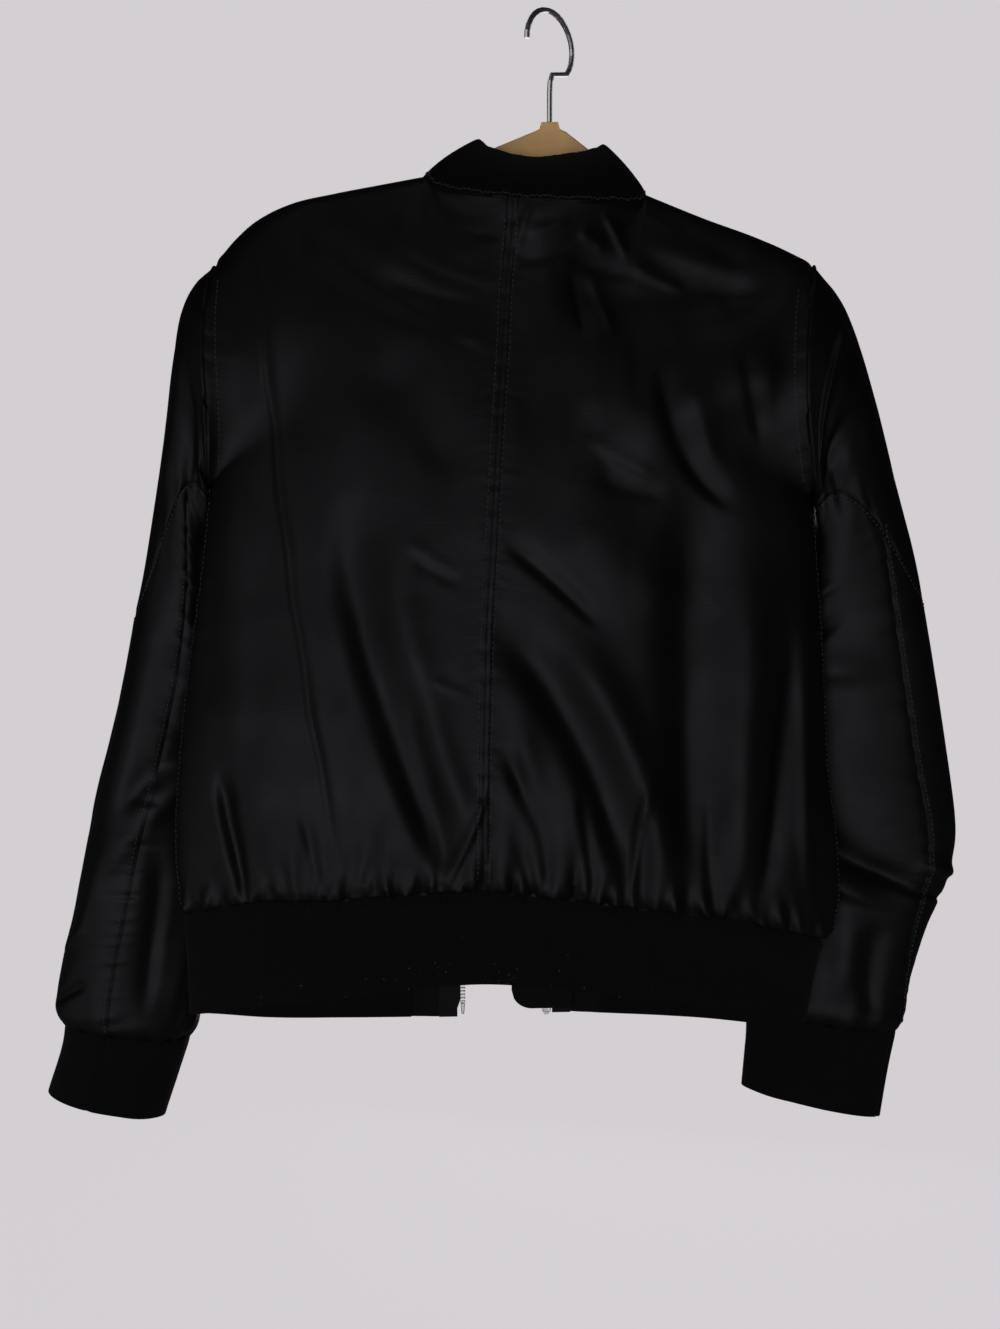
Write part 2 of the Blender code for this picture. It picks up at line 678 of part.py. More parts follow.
def make_zip_side(side, tape_material, chain_material):
    end = CHAIN_END[side]
    surface = beside_edge(side, TAPE_LIFT)
    steps = np.concatenate([zip_steps(end), [[end + 0.002], [BOTTOM_STEP]]])
    reach = np.where(steps > end, TAPE_TUCK, TAPE_OUT)
    tape = -TAPE_UNDER + (reach + TAPE_UNDER) * spread(0, 1, 3)[None, :]
    wall("zip_tape_" + side, surface, tape, steps, TAPE, tape_material)
    chain = spread(CHAIN_IN, CHAIN_OUT, 2)[None, :]
    wall("zip_chain_" + side, surface, chain, zip_steps(end), CHAIN_DEPTH, chain_material)


def make_wind_flap(material):
    distance = spread(-FLAP_UNDER, FLAP_OUT, 9)[None, :]
    past = np.clip((distance - (FLAP_OUT - FLAP_CORNER)) / FLAP_CORNER, 0, 1)
    corner = FLAP_CORNER * (1 - np.sqrt(1 - past ** 2)) + 5.0
    bottom = BOTTOM_STEP - corner / 545.0
    rows = zip_steps(BOTTOM_STEP)
    steps = rows - (BOTTOM_STEP - bottom) * ((rows - rows[0]) / (BOTTOM_STEP - rows[0])) ** 8
    wall("wind_flap", beside_edge("right", FLAP_LIFT), distance + 0 * steps, steps, SATIN, material)


def box_mesh(name, low, high, material, foot=None):
    """A block between two corners; foot is its width in x at the bottom, where it tapers."""
    middle = (low[0] + high[0]) / 2
    half = (high[0] - low[0]) / 2
    below = half if foot is None else foot / 2
    points = []
    for z, reach in ((low[2], below), (high[2], half)):
        for x, y in ((-reach, low[1]), (reach, low[1]), (reach, high[1]), (-reach, high[1])):
            points.append((middle + x, y, z))
    faces = [(3, 2, 1, 0), (4, 5, 6, 7), (0, 1, 5, 4), (1, 2, 6, 5), (2, 3, 7, 6), (3, 0, 4, 7)]
    return mesh_object(name, points, faces, material)


def soften(thing, width):
    """Round a metal piece's edges a little."""
    bevel = thing.modifiers.new("edges", "BEVEL")
    bevel.width = width * MM
    bevel.segments = 1
    bevel.limit_method = "ANGLE"


def zip_seat(side):
    """Middle of the chain beside the bottom of a front edge."""
    point, outward, face = edge_frame(side, BOTTOM_STEP)
    return point + outward * (CHAIN_IN + CHAIN_OUT) / 2 + face * TAPE_LIFT


def make_pin(material):
    seat = zip_seat("left")
    half_x, half_y = PIN_SIZE[0] / 2, PIN_SIZE[1] / 2
    top = seat[2] + 11.2
    pin = box_mesh("zip_pin", (seat[0] - half_x, seat[1] - half_y, top - PIN_SIZE[2]),
                   (seat[0] + half_x, seat[1] + half_y, top), material, PIN_SIZE[0] * 0.6)
    soften(pin, 0.5)


def extruded(name, outline, low_x, high_x, material):
    """A solid with an outline in y and z, counter-clockwise seen from +X, between two x values."""
    count = len(outline)
    points = [(low_x, y, z) for y, z in outline] + [(high_x, y, z) for y, z in outline]
    faces = [tuple(reversed(range(count))), tuple(range(count, 2 * count))]
    for k in range(count):
        nxt = (k + 1) % count
        faces.append((k, nxt, count + nxt, count + k))
    return mesh_object(name, points, faces, material)


def make_slider(seat, material):
    """Slider body with the bridge that the pull hangs from, joined into one solid."""
    bottom = seat[2] + BOX_SIZE[2] + 2.0
    half_y = SLIDER_DEPTH / 2
    slider = box_mesh("zip_slider", (seat[0] - SLIDER_WIDE / 2, seat[1] - half_y, bottom),
                      (seat[0] + SLIDER_WIDE / 2, seat[1] + half_y, bottom + SLIDER_HEIGHT),
                      material, SLIDER_NARROW)
    soften(slider, 0.6)
    axis_y = seat[1] + half_y + 1.6
    axis_z = bottom + SLIDER_HEIGHT / 2
    reach = BRIDGE_REACH + BRIDGE_WIRE / 2
    hole = BRIDGE_REACH - BRIDGE_WIRE / 2
    root_y = seat[1] + half_y - 1.0
    under_y = axis_y + 1.1
    over_y = under_y + BRIDGE_WIRE
    outline = [(root_y, axis_z - reach), (over_y - 0.8, axis_z - reach), (over_y, axis_z - reach + 1),
               (over_y, axis_z + reach - 1), (over_y - 0.8, axis_z + reach), (root_y, axis_z + reach),
               (root_y, axis_z + hole), (under_y, axis_z + hole), (under_y, axis_z - hole),
               (root_y, axis_z - hole)]
    bridge = extruded("bridge_shape", outline, seat[0] - BRIDGE_WIDTH / 2,
                      seat[0] + BRIDGE_WIDTH / 2, material)
    bridge.hide_render = True
    bridge.display_type = "WIRE"
    union = slider.modifiers.new("bridge", "BOOLEAN")
    union.operation = "UNION"
    union.solver = "EXACT"
    union.object = bridge
    return np.array([seat[0], axis_y, axis_z])


def make_pull(axis, material):
    """Pull tab: a plate with an eye round the bridge, hanging from its own empty on the axis."""
    hinge = bpy.data.objects.new("pull_hinge", None)
    hinge.location = [MM * value for value in axis]
    bpy.context.collection.objects.link(hinge)
    half, top = PULL_WIDTH / 2, PULL_THICK / 2
    eye_half = PULL_EYE[0] / 2
    eye_low = -top - PULL_EYE[1]
    foot = top - PULL_LENGTH
    outer = [(-half + 1, top), (half - 1, top), (half, top - 1), (half - 0.8, foot + 2),
             (half - 2, foot), (-half + 2, foot), (-half + 0.8, foot + 2), (-half, top - 1)]
    inner = [(-eye_half, -top), (eye_half, -top), (eye_half, -top - 1), (eye_half, eye_low),
             (eye_half - 1, eye_low - 0.6), (-eye_half + 1, eye_low - 0.6), (-eye_half, eye_low),
             (-eye_half, -top - 1)]
    count = len(outer)
    points = []
    for y in (-PULL_THICK / 2, PULL_THICK / 2):
        points += [(x, y, z) for x, z in outer] + [(x, y, z) for x, z in inner]
    faces = []
    layer = 2 * count
    for k in range(count):
        nxt = (k + 1) % count
        faces.append((k, count + k, count + nxt, nxt))
        faces.append((layer + k, layer + nxt, layer + count + nxt, layer + count + k))
        faces.append((k, nxt, layer + nxt, layer + k))
        faces.append((count + k, layer + count + k, layer + count + nxt, count + nxt))
    pull = mesh_object("zip_pull", points, faces, material)
    pull.parent = hinge
    return pull


def make_right_hardware(material):
    seat = zip_seat("right")
    half_x, half_y = BOX_SIZE[0] / 2, BOX_SIZE[1] / 2
    low = seat[2] + 1.0
    block = box_mesh("zip_box", (seat[0] - half_x, seat[1] - half_y, low),
                     (seat[0] + half_x, seat[1] + half_y, low + BOX_SIZE[2]), material)
    soften(block, 0.5)
    axis = make_slider(seat, material)
    make_pull(axis, material)


# ---- hanger ------------------------------------------------------------------------------------
def make_hanger_body(material):
    """Flat arms with a hub, lofted from chamfered sections along x."""
    half = HANGER_THICK / 2
    inside = half - HANGER_CHAMFER
    points = []
    for x, top, depth in HANGER:
        foot = top - depth
        cut = min(HANGER_CHAMFER, depth / 3)
        points += [(x, -inside, top), (x, -half, top - cut), (x, -half, foot + cut),
                   (x, -inside, foot), (x, inside, foot), (x, half, foot + cut),
                   (x, half, top - cut), (x, inside, top)]
    faces = [tuple(reversed(range(8)))]
    for section in range(len(HANGER) - 1):
        base = 8 * section
        for k in range(8):
            nxt = (k + 1) % 8
            faces.append((base + k, base + nxt, base + 8 + nxt, base + 8 + k))
    last = 8 * (len(HANGER) - 1)
    faces.append(tuple(range(last, last + 8)))
    mesh_object("hanger_body", points, faces, material)


def make_hook(material):
    """Wire from the hub up a stem, out at a kink and round a circle over the rail."""
    turn = math.radians(HOOK_TURN)
    centre_z = WIRE_RADIUS - HOOK_RADIUS
    flat = [(0.0, STEM_FOOT_Z), (0.0, -66.0), (0.0, -55.0), (0.6, STEM_BEND_Z - 3),
            (2.6, STEM_BEND_Z + 2)]
    for k in range(19):
        angle = math.radians(HOOK_START + HOOK_SWEEP * k / 18)
        flat.append((HOOK_RADIUS * math.cos(angle), centre_z + HOOK_RADIUS * math.sin(angle)))
    curve = bpy.data.curves.new("hanger_hook", "CURVE")
    curve.dimensions = "3D"
    curve.bevel_depth = WIRE_RADIUS * MM
    curve.bevel_resolution = 2
    curve.use_fill_caps = True
    spline = curve.splines.new("POLY")
    spline.points.add(len(flat) - 1)
    for point, (out, z) in zip(spline.points, flat):
        point.co = (MM * out * math.cos(turn), MM * out * math.sin(turn), MM * z, 1)
    curve.materials.append(material)
    hook = bpy.data.objects.new("hanger_hook", curve)
    bpy.context.collection.objects.link(hook)


# ---- materials and assembly --------------------------------------------------------------------
def principled(name, colour, roughness, metallic=0.0):
    material = bpy.data.materials.new(name)
    material.use_nodes = True
    shader = material.node_tree.nodes["Principled BSDF"]
    shader.inputs["Base Color"].default_value = (*colour, 1)
    shader.inputs["Roughness"].default_value = roughness
    shader.inputs["Metallic"].default_value = metallic
    return material


def build():
    for thing in list(bpy.data.objects):
        bpy.data.objects.remove(thing)
    satin = principled("black nylon satin", (0.012, 0.012, 0.014), 0.38)
    rib = principled("black rib knit", (0.01, 0.009, 0.01), 0.85)
    tape = principled("black woven zip tape", (0.01, 0.01, 0.01), 0.8)
    metal = principled("nickel-plated brass", (0.75, 0.74, 0.72), 0.25, 1.0)
    steel = principled("polished steel wire", (0.8, 0.8, 0.8), 0.15, 1.0)
    flock = principled("beige flocked plastic", (0.55, 0.37, 0.18), 0.9)

    make_hook(steel)
    make_hanger_body(flock)
    make_collar(rib)
    make_hem_back(rib)
    for side in ("left", "right"):
        make_back(side, satin)
        make_front(side, satin)
        make_hem_front(side, rib, satin)
        make_sleeve_head(side, satin)
        make_sleeve_panel(side, "top", satin)
        make_sleeve_panel(side, "under", satin)
        make_cuff(side, rib)
        make_zip_side(side, tape, metal)
    make_wind_flap(satin)
    make_pin(metal)
    make_right_hardware(metal)


build()
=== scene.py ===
# %% [markdown]
# # A satin bomber jacket on a flocked hanger
#
# A bomber jacket is a short, loose shell of nylon satin, closed at the neck, wrists and hem by
# bands of rib knit. Here it hangs unzipped from a slim velvet-flocked hanger and is seen from its
# back. The frame gives the solids that carry and collide. This lesson makes the cloth that is
# seen: thin walls with folds, gathers and puckers, then the stitches, the zip and the finishes.

# %% The frame and its box
import json
import math

import bpy
import numpy as np
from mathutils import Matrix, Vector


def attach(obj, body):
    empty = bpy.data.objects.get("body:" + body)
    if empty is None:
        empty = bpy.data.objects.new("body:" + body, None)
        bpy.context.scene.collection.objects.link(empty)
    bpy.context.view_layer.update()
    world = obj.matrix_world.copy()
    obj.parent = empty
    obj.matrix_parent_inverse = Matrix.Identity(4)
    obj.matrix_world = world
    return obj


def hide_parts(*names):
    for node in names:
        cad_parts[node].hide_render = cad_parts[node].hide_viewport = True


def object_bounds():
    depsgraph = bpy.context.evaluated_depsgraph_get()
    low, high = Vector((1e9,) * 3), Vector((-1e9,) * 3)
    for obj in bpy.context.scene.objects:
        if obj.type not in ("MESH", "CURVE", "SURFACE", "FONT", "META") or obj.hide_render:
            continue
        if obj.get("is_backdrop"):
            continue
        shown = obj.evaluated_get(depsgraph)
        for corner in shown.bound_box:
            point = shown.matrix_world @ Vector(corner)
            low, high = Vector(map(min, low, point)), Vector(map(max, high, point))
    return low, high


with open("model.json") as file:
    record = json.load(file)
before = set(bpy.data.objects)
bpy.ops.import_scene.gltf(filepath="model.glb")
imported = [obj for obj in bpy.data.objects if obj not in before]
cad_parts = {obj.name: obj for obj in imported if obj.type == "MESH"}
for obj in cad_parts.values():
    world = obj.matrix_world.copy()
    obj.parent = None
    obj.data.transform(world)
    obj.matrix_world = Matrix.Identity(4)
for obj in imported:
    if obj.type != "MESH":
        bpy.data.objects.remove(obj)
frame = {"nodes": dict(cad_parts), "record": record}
cad_box = [list(corner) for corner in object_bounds()]
bodies = frame["record"]["behaviour"]["bodies"]
BODY = next(name for name, nodes in bodies.items() if len(nodes) > 1)   # all but the zip's pull

# %% [markdown]
# ## Tables of the pattern
#
# A pattern cutter keeps a jacket as a few measured lines: side, seam and front edge at a number
# of heights, the neck curve, the hem curve, and the girth of each sleeve down its length. The
# same idea is used here. All table values are millimetres, in the frame's own axes.

# %% Body, neck and hem tables
MM = 0.001
HEM_END = 1.13              # row value at the bottom edge of the hem rib; 1 is the seam above it
UNDERARM = 0.335            # row value where the armhole closes
FILLET = 0.02               # row value down to which the cloth rounds over the hanger
ARMHOLE_DEPTH = 36.0        # how far the armhole opens forwards and back of the shoulder fold
ARMHOLE_SOFTNESS = 2.0      # how gently the cloth leaves the underarm
CROWN = 2.6                 # how flat a panel is across before it rounds into its side seam
NECK_CENTRE_X = -10.5       # the jacket hangs a little to its left
NECK_HALF_WIDTH = 80.5
NECK_DEPTH = 34.0           # half the neck's width from back to front
NECK_FADE = 0.5             # row value down to which the cloth still bulges below the neck
NECK_EDGE = 0.022           # row value over which that bulge loses its sharp upper corners
TOP_SAG = 17.0              # how far the rows below the neck hang below a straight line
TOP_EASE = 0.04             # row value over which the neck's curve evens out
FRONT_END_ANGLE = 60.0      # where a front edge meets the neck, past the shoulder
TAB_WIDTH = 36.0            # satin end of the hem rib, beside the zip
BACK, FRONT = -1, 1

DOWN = [
    # row    left    seam   right   back  front  edge_l edge_r
    (0.00, -244.0, -27.0, 193.0,  9.0,  9.0, -51.0, 30.0),
    (0.06, -247.0, -29.0, 186.0, 15.0, 14.0, -52.0, 29.0),
    (0.13, -248.0, -32.0, 183.0, 22.0, 19.0, -54.0, 27.0),
    (0.21, -247.0, -34.0, 184.0, 28.0, 23.0, -56.0, 25.0),
    (0.27, -248.0, -36.0, 189.0, 31.0, 25.0, -58.0, 23.0),
    (0.335, -252.0, -38.0, 196.0, 34.0, 27.0, -59.0, 21.0),
    (0.45, -259.0, -41.0, 202.0, 36.0, 29.0, -61.0, 18.0),
    (0.60, -270.0, -45.0, 208.0, 38.0, 30.0, -64.0, 14.0),
    (0.75, -279.0, -47.0, 213.0, 40.0, 31.0, -67.0, 11.0),
    (0.87, -283.0, -48.0, 221.0, 41.0, 31.0, -69.0, 8.0),
    (0.95, -282.0, -48.0, 221.0, 39.0, 29.0, -70.0, 6.0),
    (1.00, -277.0, -48.0, 211.0, 33.0, 27.0, -70.0, 5.0),
    (1.13, -274.0, -47.0, 198.0, 30.0, 26.0, -70.0, 5.0),
]
FOLD_LEFT = [
    # x      z of the shoulder fold
    (-244.0, -180.0), (-237.0, -170.0), (-228.0, -160.0), (-217.0, -150.0), (-204.0, -142.0),
    (-190.0, -136.0), (-156.0, -128.0), (-124.0, -122.0), (-91.0, -116.0),
]
FOLD_RIGHT = [
    # x     z of the shoulder fold
    (70.0, -129.0), (80.0, -133.0), (113.0, -146.0), (152.0, -160.0), (171.0, -168.0),
    (185.0, -175.0), (193.0, -180.0),
]
NECK = [
    # angle  seam_z  top_x  top_y   top_z
    (-60.0, -205.0, 8.0, 30.0, -176.0),
    (-30.0, -174.0, 25.0, 20.0, -149.0),
    (0.0, -129.0, 39.0, 0.0, -95.0),
    (20.0, -136.0, 33.0, -8.0, -97.0),
    (45.0, -139.0, 21.0, -13.0, -101.0),
    (70.0, -140.0, 6.0, -16.0, -104.0),
    (90.0, -139.5, -7.0, -16.0, -105.5),
    (120.0, -135.0, -28.0, -14.0, -102.5),
    (150.0, -127.0, -44.0, -8.0, -96.0),
    (180.0, -116.0, -52.0, 0.0, -92.5),
    (210.0, -158.0, -46.0, 20.0, -133.0),
    (240.0, -200.0, -29.0, 30.0, -171.0),
]
HEM = [
    # x     back_seam back_end front_seam front_end
    (-280.0, -664.0, -742.0, -664.0, -742.0),
    (-220.0, -650.0, -729.0, -680.0, -751.0),
    (-160.0, -647.0, -721.0, -684.0, -753.0),
    (-100.0, -642.0, -713.0, -685.0, -753.0),
    (-48.0, -639.0, -709.0, -684.0, -752.0),
    (8.0, -645.0, -713.0, -681.0, -749.0),
    (60.0, -652.0, -721.0, -682.0, -750.0),
    (120.0, -660.0, -730.0, -684.0, -752.0),
    (170.0, -671.0, -739.0, -687.0, -755.0),
    (215.0, -684.0, -753.0, -688.0, -756.0),
]
print("hem", HEM[-1][0] - HEM[0][0], "mm wide, neck", 2 * NECK_HALF_WIDTH, "mm wide")

# %% Sleeve tables
RINGS = {
    "left": [
        # ring  out_x   out_y  out_z   in_x   in_y   in_z    half
        (0.0, -244.0, 0.0, -180.0, -252.0, 0.0, -340.0, 36.0),
        (1.0, -264.0, 4.0, -201.0, -253.5, 16.0, -353.0, 39.0),
        (2.0, -276.0, 12.0, -238.0, -252.5, 36.0, -385.0, 40.0),
        (3.0, -286.0, 20.0, -291.0, -253.0, 52.0, -426.0, 40.0),
        (4.0, -299.0, 27.0, -357.0, -245.0, 61.0, -470.0, 39.0),
        (5.0, -314.0, 31.0, -427.0, -243.0, 65.0, -514.0, 38.0),
        (6.0, -331.0, 33.0, -497.0, -246.0, 66.0, -558.0, 38.0),
        (7.0, -348.0, 34.0, -560.0, -252.0, 65.0, -602.0, 37.0),
        (8.0, -361.0, 35.0, -614.0, -259.0, 63.0, -643.0, 36.0),
        (9.0, -372.0, 36.0, -662.0, -266.0, 60.0, -684.0, 34.0),
        (10.0, -383.0, 37.0, -712.0, -275.0, 57.0, -730.0, 32.0),
        (10.6, -386.0, 37.0, -744.0, -281.0, 55.0, -759.0, 31.0),
        (11.0, -382.0, 37.0, -762.0, -288.0, 54.0, -779.0, 25.0),
        (12.0, -396.0, 37.0, -817.0, -310.0, 52.0, -843.0, 24.0),
    ],
    "right": [
        # ring  out_x   out_y  out_z   in_x   in_y   in_z    half
        (0.0, 193.0, 0.0, -180.0, 196.0, 0.0, -350.0, 36.0),
        (1.0, 218.0, 4.0, -214.0, 199.5, 16.0, -363.0, 39.0),
        (2.0, 240.0, 9.0, -274.0, 196.5, 36.0, -396.0, 40.0),
        (3.0, 259.0, 14.0, -334.0, 188.0, 50.0, -440.0, 39.0),
        (4.0, 277.0, 18.0, -394.0, 174.0, 58.0, -482.0, 36.0),
        (5.0, 294.0, 22.0, -471.0, 165.0, 60.0, -525.0, 32.0),
        (6.0, 309.0, 25.0, -548.0, 162.0, 60.0, -570.0, 28.0),
        (7.0, 318.0, 27.0, -602.0, 163.0, 59.0, -610.0, 25.0),
        (8.0, 313.0, 29.0, -642.0, 160.0, 58.0, -645.0, 24.0),
        (9.0, 299.0, 31.0, -682.0, 158.0, 56.0, -682.0, 23.0),
        (10.0, 288.0, 32.0, -722.0, 157.0, 54.0, -720.0, 23.0),
        (10.6, 284.0, 33.0, -748.0, 158.0, 53.0, -742.0, 22.0),
        (11.0, 278.0, 34.0, -767.0, 163.0, 52.0, -757.0, 18.5),
        (12.0, 266.0, 34.0, -836.0, 161.0, 50.0, -818.0, 17.5),
    ],
}
CUFF_SEAM, CUFF_END = 11.0, 12.0
CAP_SEAM = {
    # angle, ring of the slanting seam below the shoulder cap
    "left": [(0.0, 5.3), (35.0, 4.7), (60.0, 3.7), (100.0, 2.3), (150.0, 1.3), (180.0, 1.1)],
    "right": [(0.0, 4.6), (35.0, 4.0), (60.0, 3.1), (100.0, 2.0), (150.0, 1.2), (180.0, 1.0)],
}
ELBOW_SEAM = {
    # ring, angle of the seam down the back of the sleeve
    "left": [(0.0, 90.0), (4.0, 90.0), (6.0, 87.0), (8.0, 83.0), (11.0, 82.0)],
    "right": [(0.0, 54.0), (4.0, 54.0), (6.0, 50.0), (8.4, 40.0), (9.5, 32.0), (11.0, 16.0)],
}
print("sleeve rings:", {side: len(rows) for side, rows in RINGS.items()})

# %% [markdown]
# ## Smooth curves through a table
#
# Every table is read through one smooth curve, so a measure can be asked for at any height. A
# cubic between rows keeps the cloth free of the flat steps that straight lines would leave.

# %% Reading a table
def track(rows, first=1, last=None):
    """A smooth curve through a table's rows: its columns as a function of the first column."""
    data = np.array(rows, dtype=float)
    keys = data[:, 0]
    values = data[:, first:last]
    slopes = np.gradient(values, keys, axis=0)

    def read(at):
        at = np.clip(np.asarray(at, dtype=float), keys[0], keys[-1])
        low = np.clip(np.searchsorted(keys, at, side="right") - 1, 0, len(keys) - 2)
        span = (keys[low + 1] - keys[low])[..., None]
        share = (at - keys[low])[..., None] / span
        square = share * share
        cube = square * share
        return (values[low] * (2 * cube - 3 * square + 1) + values[low + 1] * (3 * square - 2 * cube)
                + slopes[low] * span * (cube - 2 * square + share)
                + slopes[low + 1] * span * (cube - square))

    return read


down, neck, hem = track(DOWN), track(NECK), track(HEM)
fold_left, fold_right = track(FOLD_LEFT), track(FOLD_RIGHT)
rings = {side: track(rows) for side, rows in RINGS.items()}
cap_seam = {side: track(rows) for side, rows in CAP_SEAM.items()}
elbow_seam = {side: track(rows) for side, rows in ELBOW_SEAM.items()}
SIDE_COLUMN = {"left": 0, "right": 2}
EDGE_COLUMN = {"left": 5, "right": 6}
print("tables read:", len(DOWN), "body rows,", len(NECK), "neck rows,", len(HEM), "hem rows")

# %% [markdown]
# ## Two surfaces carry nearly all the cloth
#
# On the hanger the jacket is two things: a flattened body shell that folds over the hanger's
# arms, and two tubes for the sleeves. Each is one smooth surface with two parameters, and every
# sewn piece is a range of it. Neighbours then share their seam exactly, as they do when sewn.

# %% The body surface
def row_value(step):
    """Row value at a step: 0 to 1 rounds over the fold, 1 to 2 goes on to the hem seam."""
    step = np.asarray(step, dtype=float)
    rounding = FILLET * (1 - np.cos(np.clip(step, -1, 1) * math.pi / 2))
    return np.where(step < 1, rounding, FILLET + (step - 1) * (1 - FILLET))


def step_of(row):
    """The step that gives a row value."""
    row = np.asarray(row, dtype=float)
    early = np.arccos(1 - np.clip(row, 0, FILLET) / FILLET) * 2 / math.pi
    return np.where(row < FILLET, early, 1 + (row - FILLET) / (1 - FILLET))


def across(angle):
    """Share of the way from the centre-back seam to the side at an angle of the cross-section."""
    return np.abs(np.sin(np.radians(angle))) ** (2 / CROWN)


def angle_of(share):
    return np.degrees(np.arcsin(np.clip(share, 0, 1) ** (CROWN / 2)))


def neck_angle(x, face):
    """Angle round the neck at x: the back half is 0 to 180, the front half past both ends."""
    cosine = np.clip((x - NECK_CENTRE_X) / NECK_HALF_WIDTH, -1, 1)
    angle = np.degrees(np.arccos(cosine))
    if face == BACK:
        return angle
    return np.where(x < NECK_CENTRE_X, 360 - angle, -angle)


def top_line(x, face):
    """Height of a panel's top edge: the shoulder fold, and between its ends the neck seam."""
    around = neck(neck_angle(x, face))[..., 0]
    left = fold_left(x)[..., 0]
    right = fold_right(x)[..., 0]
    return np.where(x < FOLD_LEFT[-1][0], left, np.where(x > FOLD_RIGHT[0][0], right, around))


def eased_top(x, row, face):
    """Top line as the rows below feel it: at the back the neck's curve soon evens out."""
    line = top_line(x, face)
    if face == FRONT:
        return line
    left_x, left_z = FOLD_LEFT[-1]
    right_x, right_z = FOLD_RIGHT[0]
    part = np.clip((x - left_x) / (right_x - left_x), 0, 1)
    even = left_z + (right_z - left_z) * part - TOP_SAG * (4 * part * (1 - part)) ** 2
    even = np.where((x > left_x) & (x < right_x), even, line)
    return even + (line - even) * np.exp(-(row / TOP_EASE) ** 2)


def body(face, side, angle, step):
    """Middle surface of the body: angle 0 at the centre-back seam and 90 at the side."""
    row = row_value(step)
    columns = down(row)
    top = down(np.zeros_like(row))
    seam_row = down(np.ones_like(row))
    end_row = down(np.full_like(row, HEM_END))
    share = across(angle)
    column = SIDE_COLUMN[side]

    def x_on(table_row):
        return table_row[..., 1] + share * (table_row[..., column] - table_row[..., 1])

    x = x_on(columns)
    upper = eased_top(x_on(top), row, face)
    seam_z = hem(x_on(seam_row))[..., 0 if face == BACK else 2]
    end_z = hem(x_on(end_row))[..., 1 if face == BACK else 3]
    on_body = np.clip(row, 0, 1)
    on_rib = (row - on_body) / (HEM_END - 1)
    z = upper + (seam_z - upper) * on_body + (end_z - seam_z) * on_rib

    rounding = np.where(step < 1, np.sin(np.clip(step, -1, 1) * math.pi / 2), 1)
    middle = columns[..., 3 if face == BACK else 4] * rounding
    part = np.clip(row / UNDERARM, 0, 1)
    inward = np.cos(np.radians(angle))
    fall = 0.5 + np.where(part > 0.5, ARMHOLE_SOFTNESS * np.abs(inward), 0)
    armhole = ARMHOLE_DEPTH * (4 * part * (1 - part)) ** fall
    depth = armhole * np.sign(step) * (1 - inward) + middle * inward
    around = np.radians(neck_angle(x_on(top), BACK))
    fade = np.clip(1 - row / NECK_FADE, 0, 1) ** 2
    sharp = 1 + 1.6 * (1 - np.exp(-row / NECK_EDGE))
    bulge = NECK_DEPTH * np.clip(np.sin(around), 0, 1) ** sharp * fade
    depth = np.hypot(depth, bulge) * np.sign(depth)
    return np.stack([x, face * depth, z], axis=-1)


sides = [body(BACK, side, 90.0, step_of(0.6)) for side in ("left", "right")]
print("body", round(float(sides[1][0] - sides[0][0])), "mm wide across its middle")

# %% The sleeve surface
SLEEVE_STANDOFF = 0.6       # the sleeve's first ring lies this far outside the armhole's edge
BOW_RINGS = 3.0             # rings over which the armhole's inward curve dies out


def sleeve(side, ring, angle):
    """Middle surface of a sleeve: angle 0 at its outer fold, 90 facing back, -90 facing front."""
    ring = np.asarray(ring, dtype=float)
    columns = rings[side](ring)
    share = ((1 - np.cos(np.radians(angle))) / 2)[..., None]
    point = columns[..., 0:3] + (columns[..., 3:6] - columns[..., 0:3]) * share
    point[..., 1] -= columns[..., 6] * np.sin(np.radians(angle))
    row = UNDERARM * share[..., 0]
    edge_x = down(row)[..., SIDE_COLUMN[side]]
    first = rings[side](np.zeros_like(ring))
    straight_x = first[..., 0] + (first[..., 3] - first[..., 0]) * share[..., 0]
    fade = np.clip(1 - ring / BOW_RINGS, 0, 1) ** 2
    clear = SLEEVE_STANDOFF if side == "right" else -SLEEVE_STANDOFF
    point[..., 0] += (edge_x + clear - straight_x) * fade
    return point


def run_length(line):
    """Length along a line of points, from its start to each of them."""
    return np.concatenate([[0], np.cumsum(np.linalg.norm(np.diff(line, axis=0), axis=-1))])


outer_folds = [sleeve(side, np.linspace(0, CUFF_END, 60), np.zeros(60)) for side in RINGS]
print("sleeves", [round(float(run_length(fold)[-1])) for fold in outer_folds], "mm down the outside")

# %% [markdown]
# A surface, the side of it that is the outside, and the relief that its cloth has make a skin.

# %% Skins
class Skin:
    """One face of the garment: its middle surface, the way its outside looks, its relief."""

    def __init__(self, surface, turn, relief=None):
        self.surface, self.turn, self.relief = surface, turn, relief

    def outward(self, first, second, nudge=1e-5):
        """Unit normals towards the outside, from small steps in the two parameters."""
        surface = self.surface
        along = surface(first + nudge, second) - surface(first - nudge, second)
        over = surface(first, second + nudge) - surface(first, second - nudge)
        cross = np.cross(along, over)
        return cross * (self.turn / np.linalg.norm(cross, axis=-1, keepdims=True))

    def place(self, first, second, lift=0.0):
        """Points at a lift above the middle of the folded cloth, and their outward normals."""
        out = self.outward(first, second)
        height = lift + (0.0 if self.relief is None else self.relief(first, second))
        return self.surface(first, second) + out * np.broadcast_to(height, first.shape)[..., None], out


def body_skin(face, side, relief=None):
    turn = 1 if (face == BACK) == (side == "left") else -1
    return Skin(lambda angle, step: body(face, side, angle, step), turn, relief)


def sleeve_skin(side, relief=None):
    turn = 1 if side == "left" else -1
    return Skin(lambda ring, angle: sleeve(side, ring, angle), turn, relief)


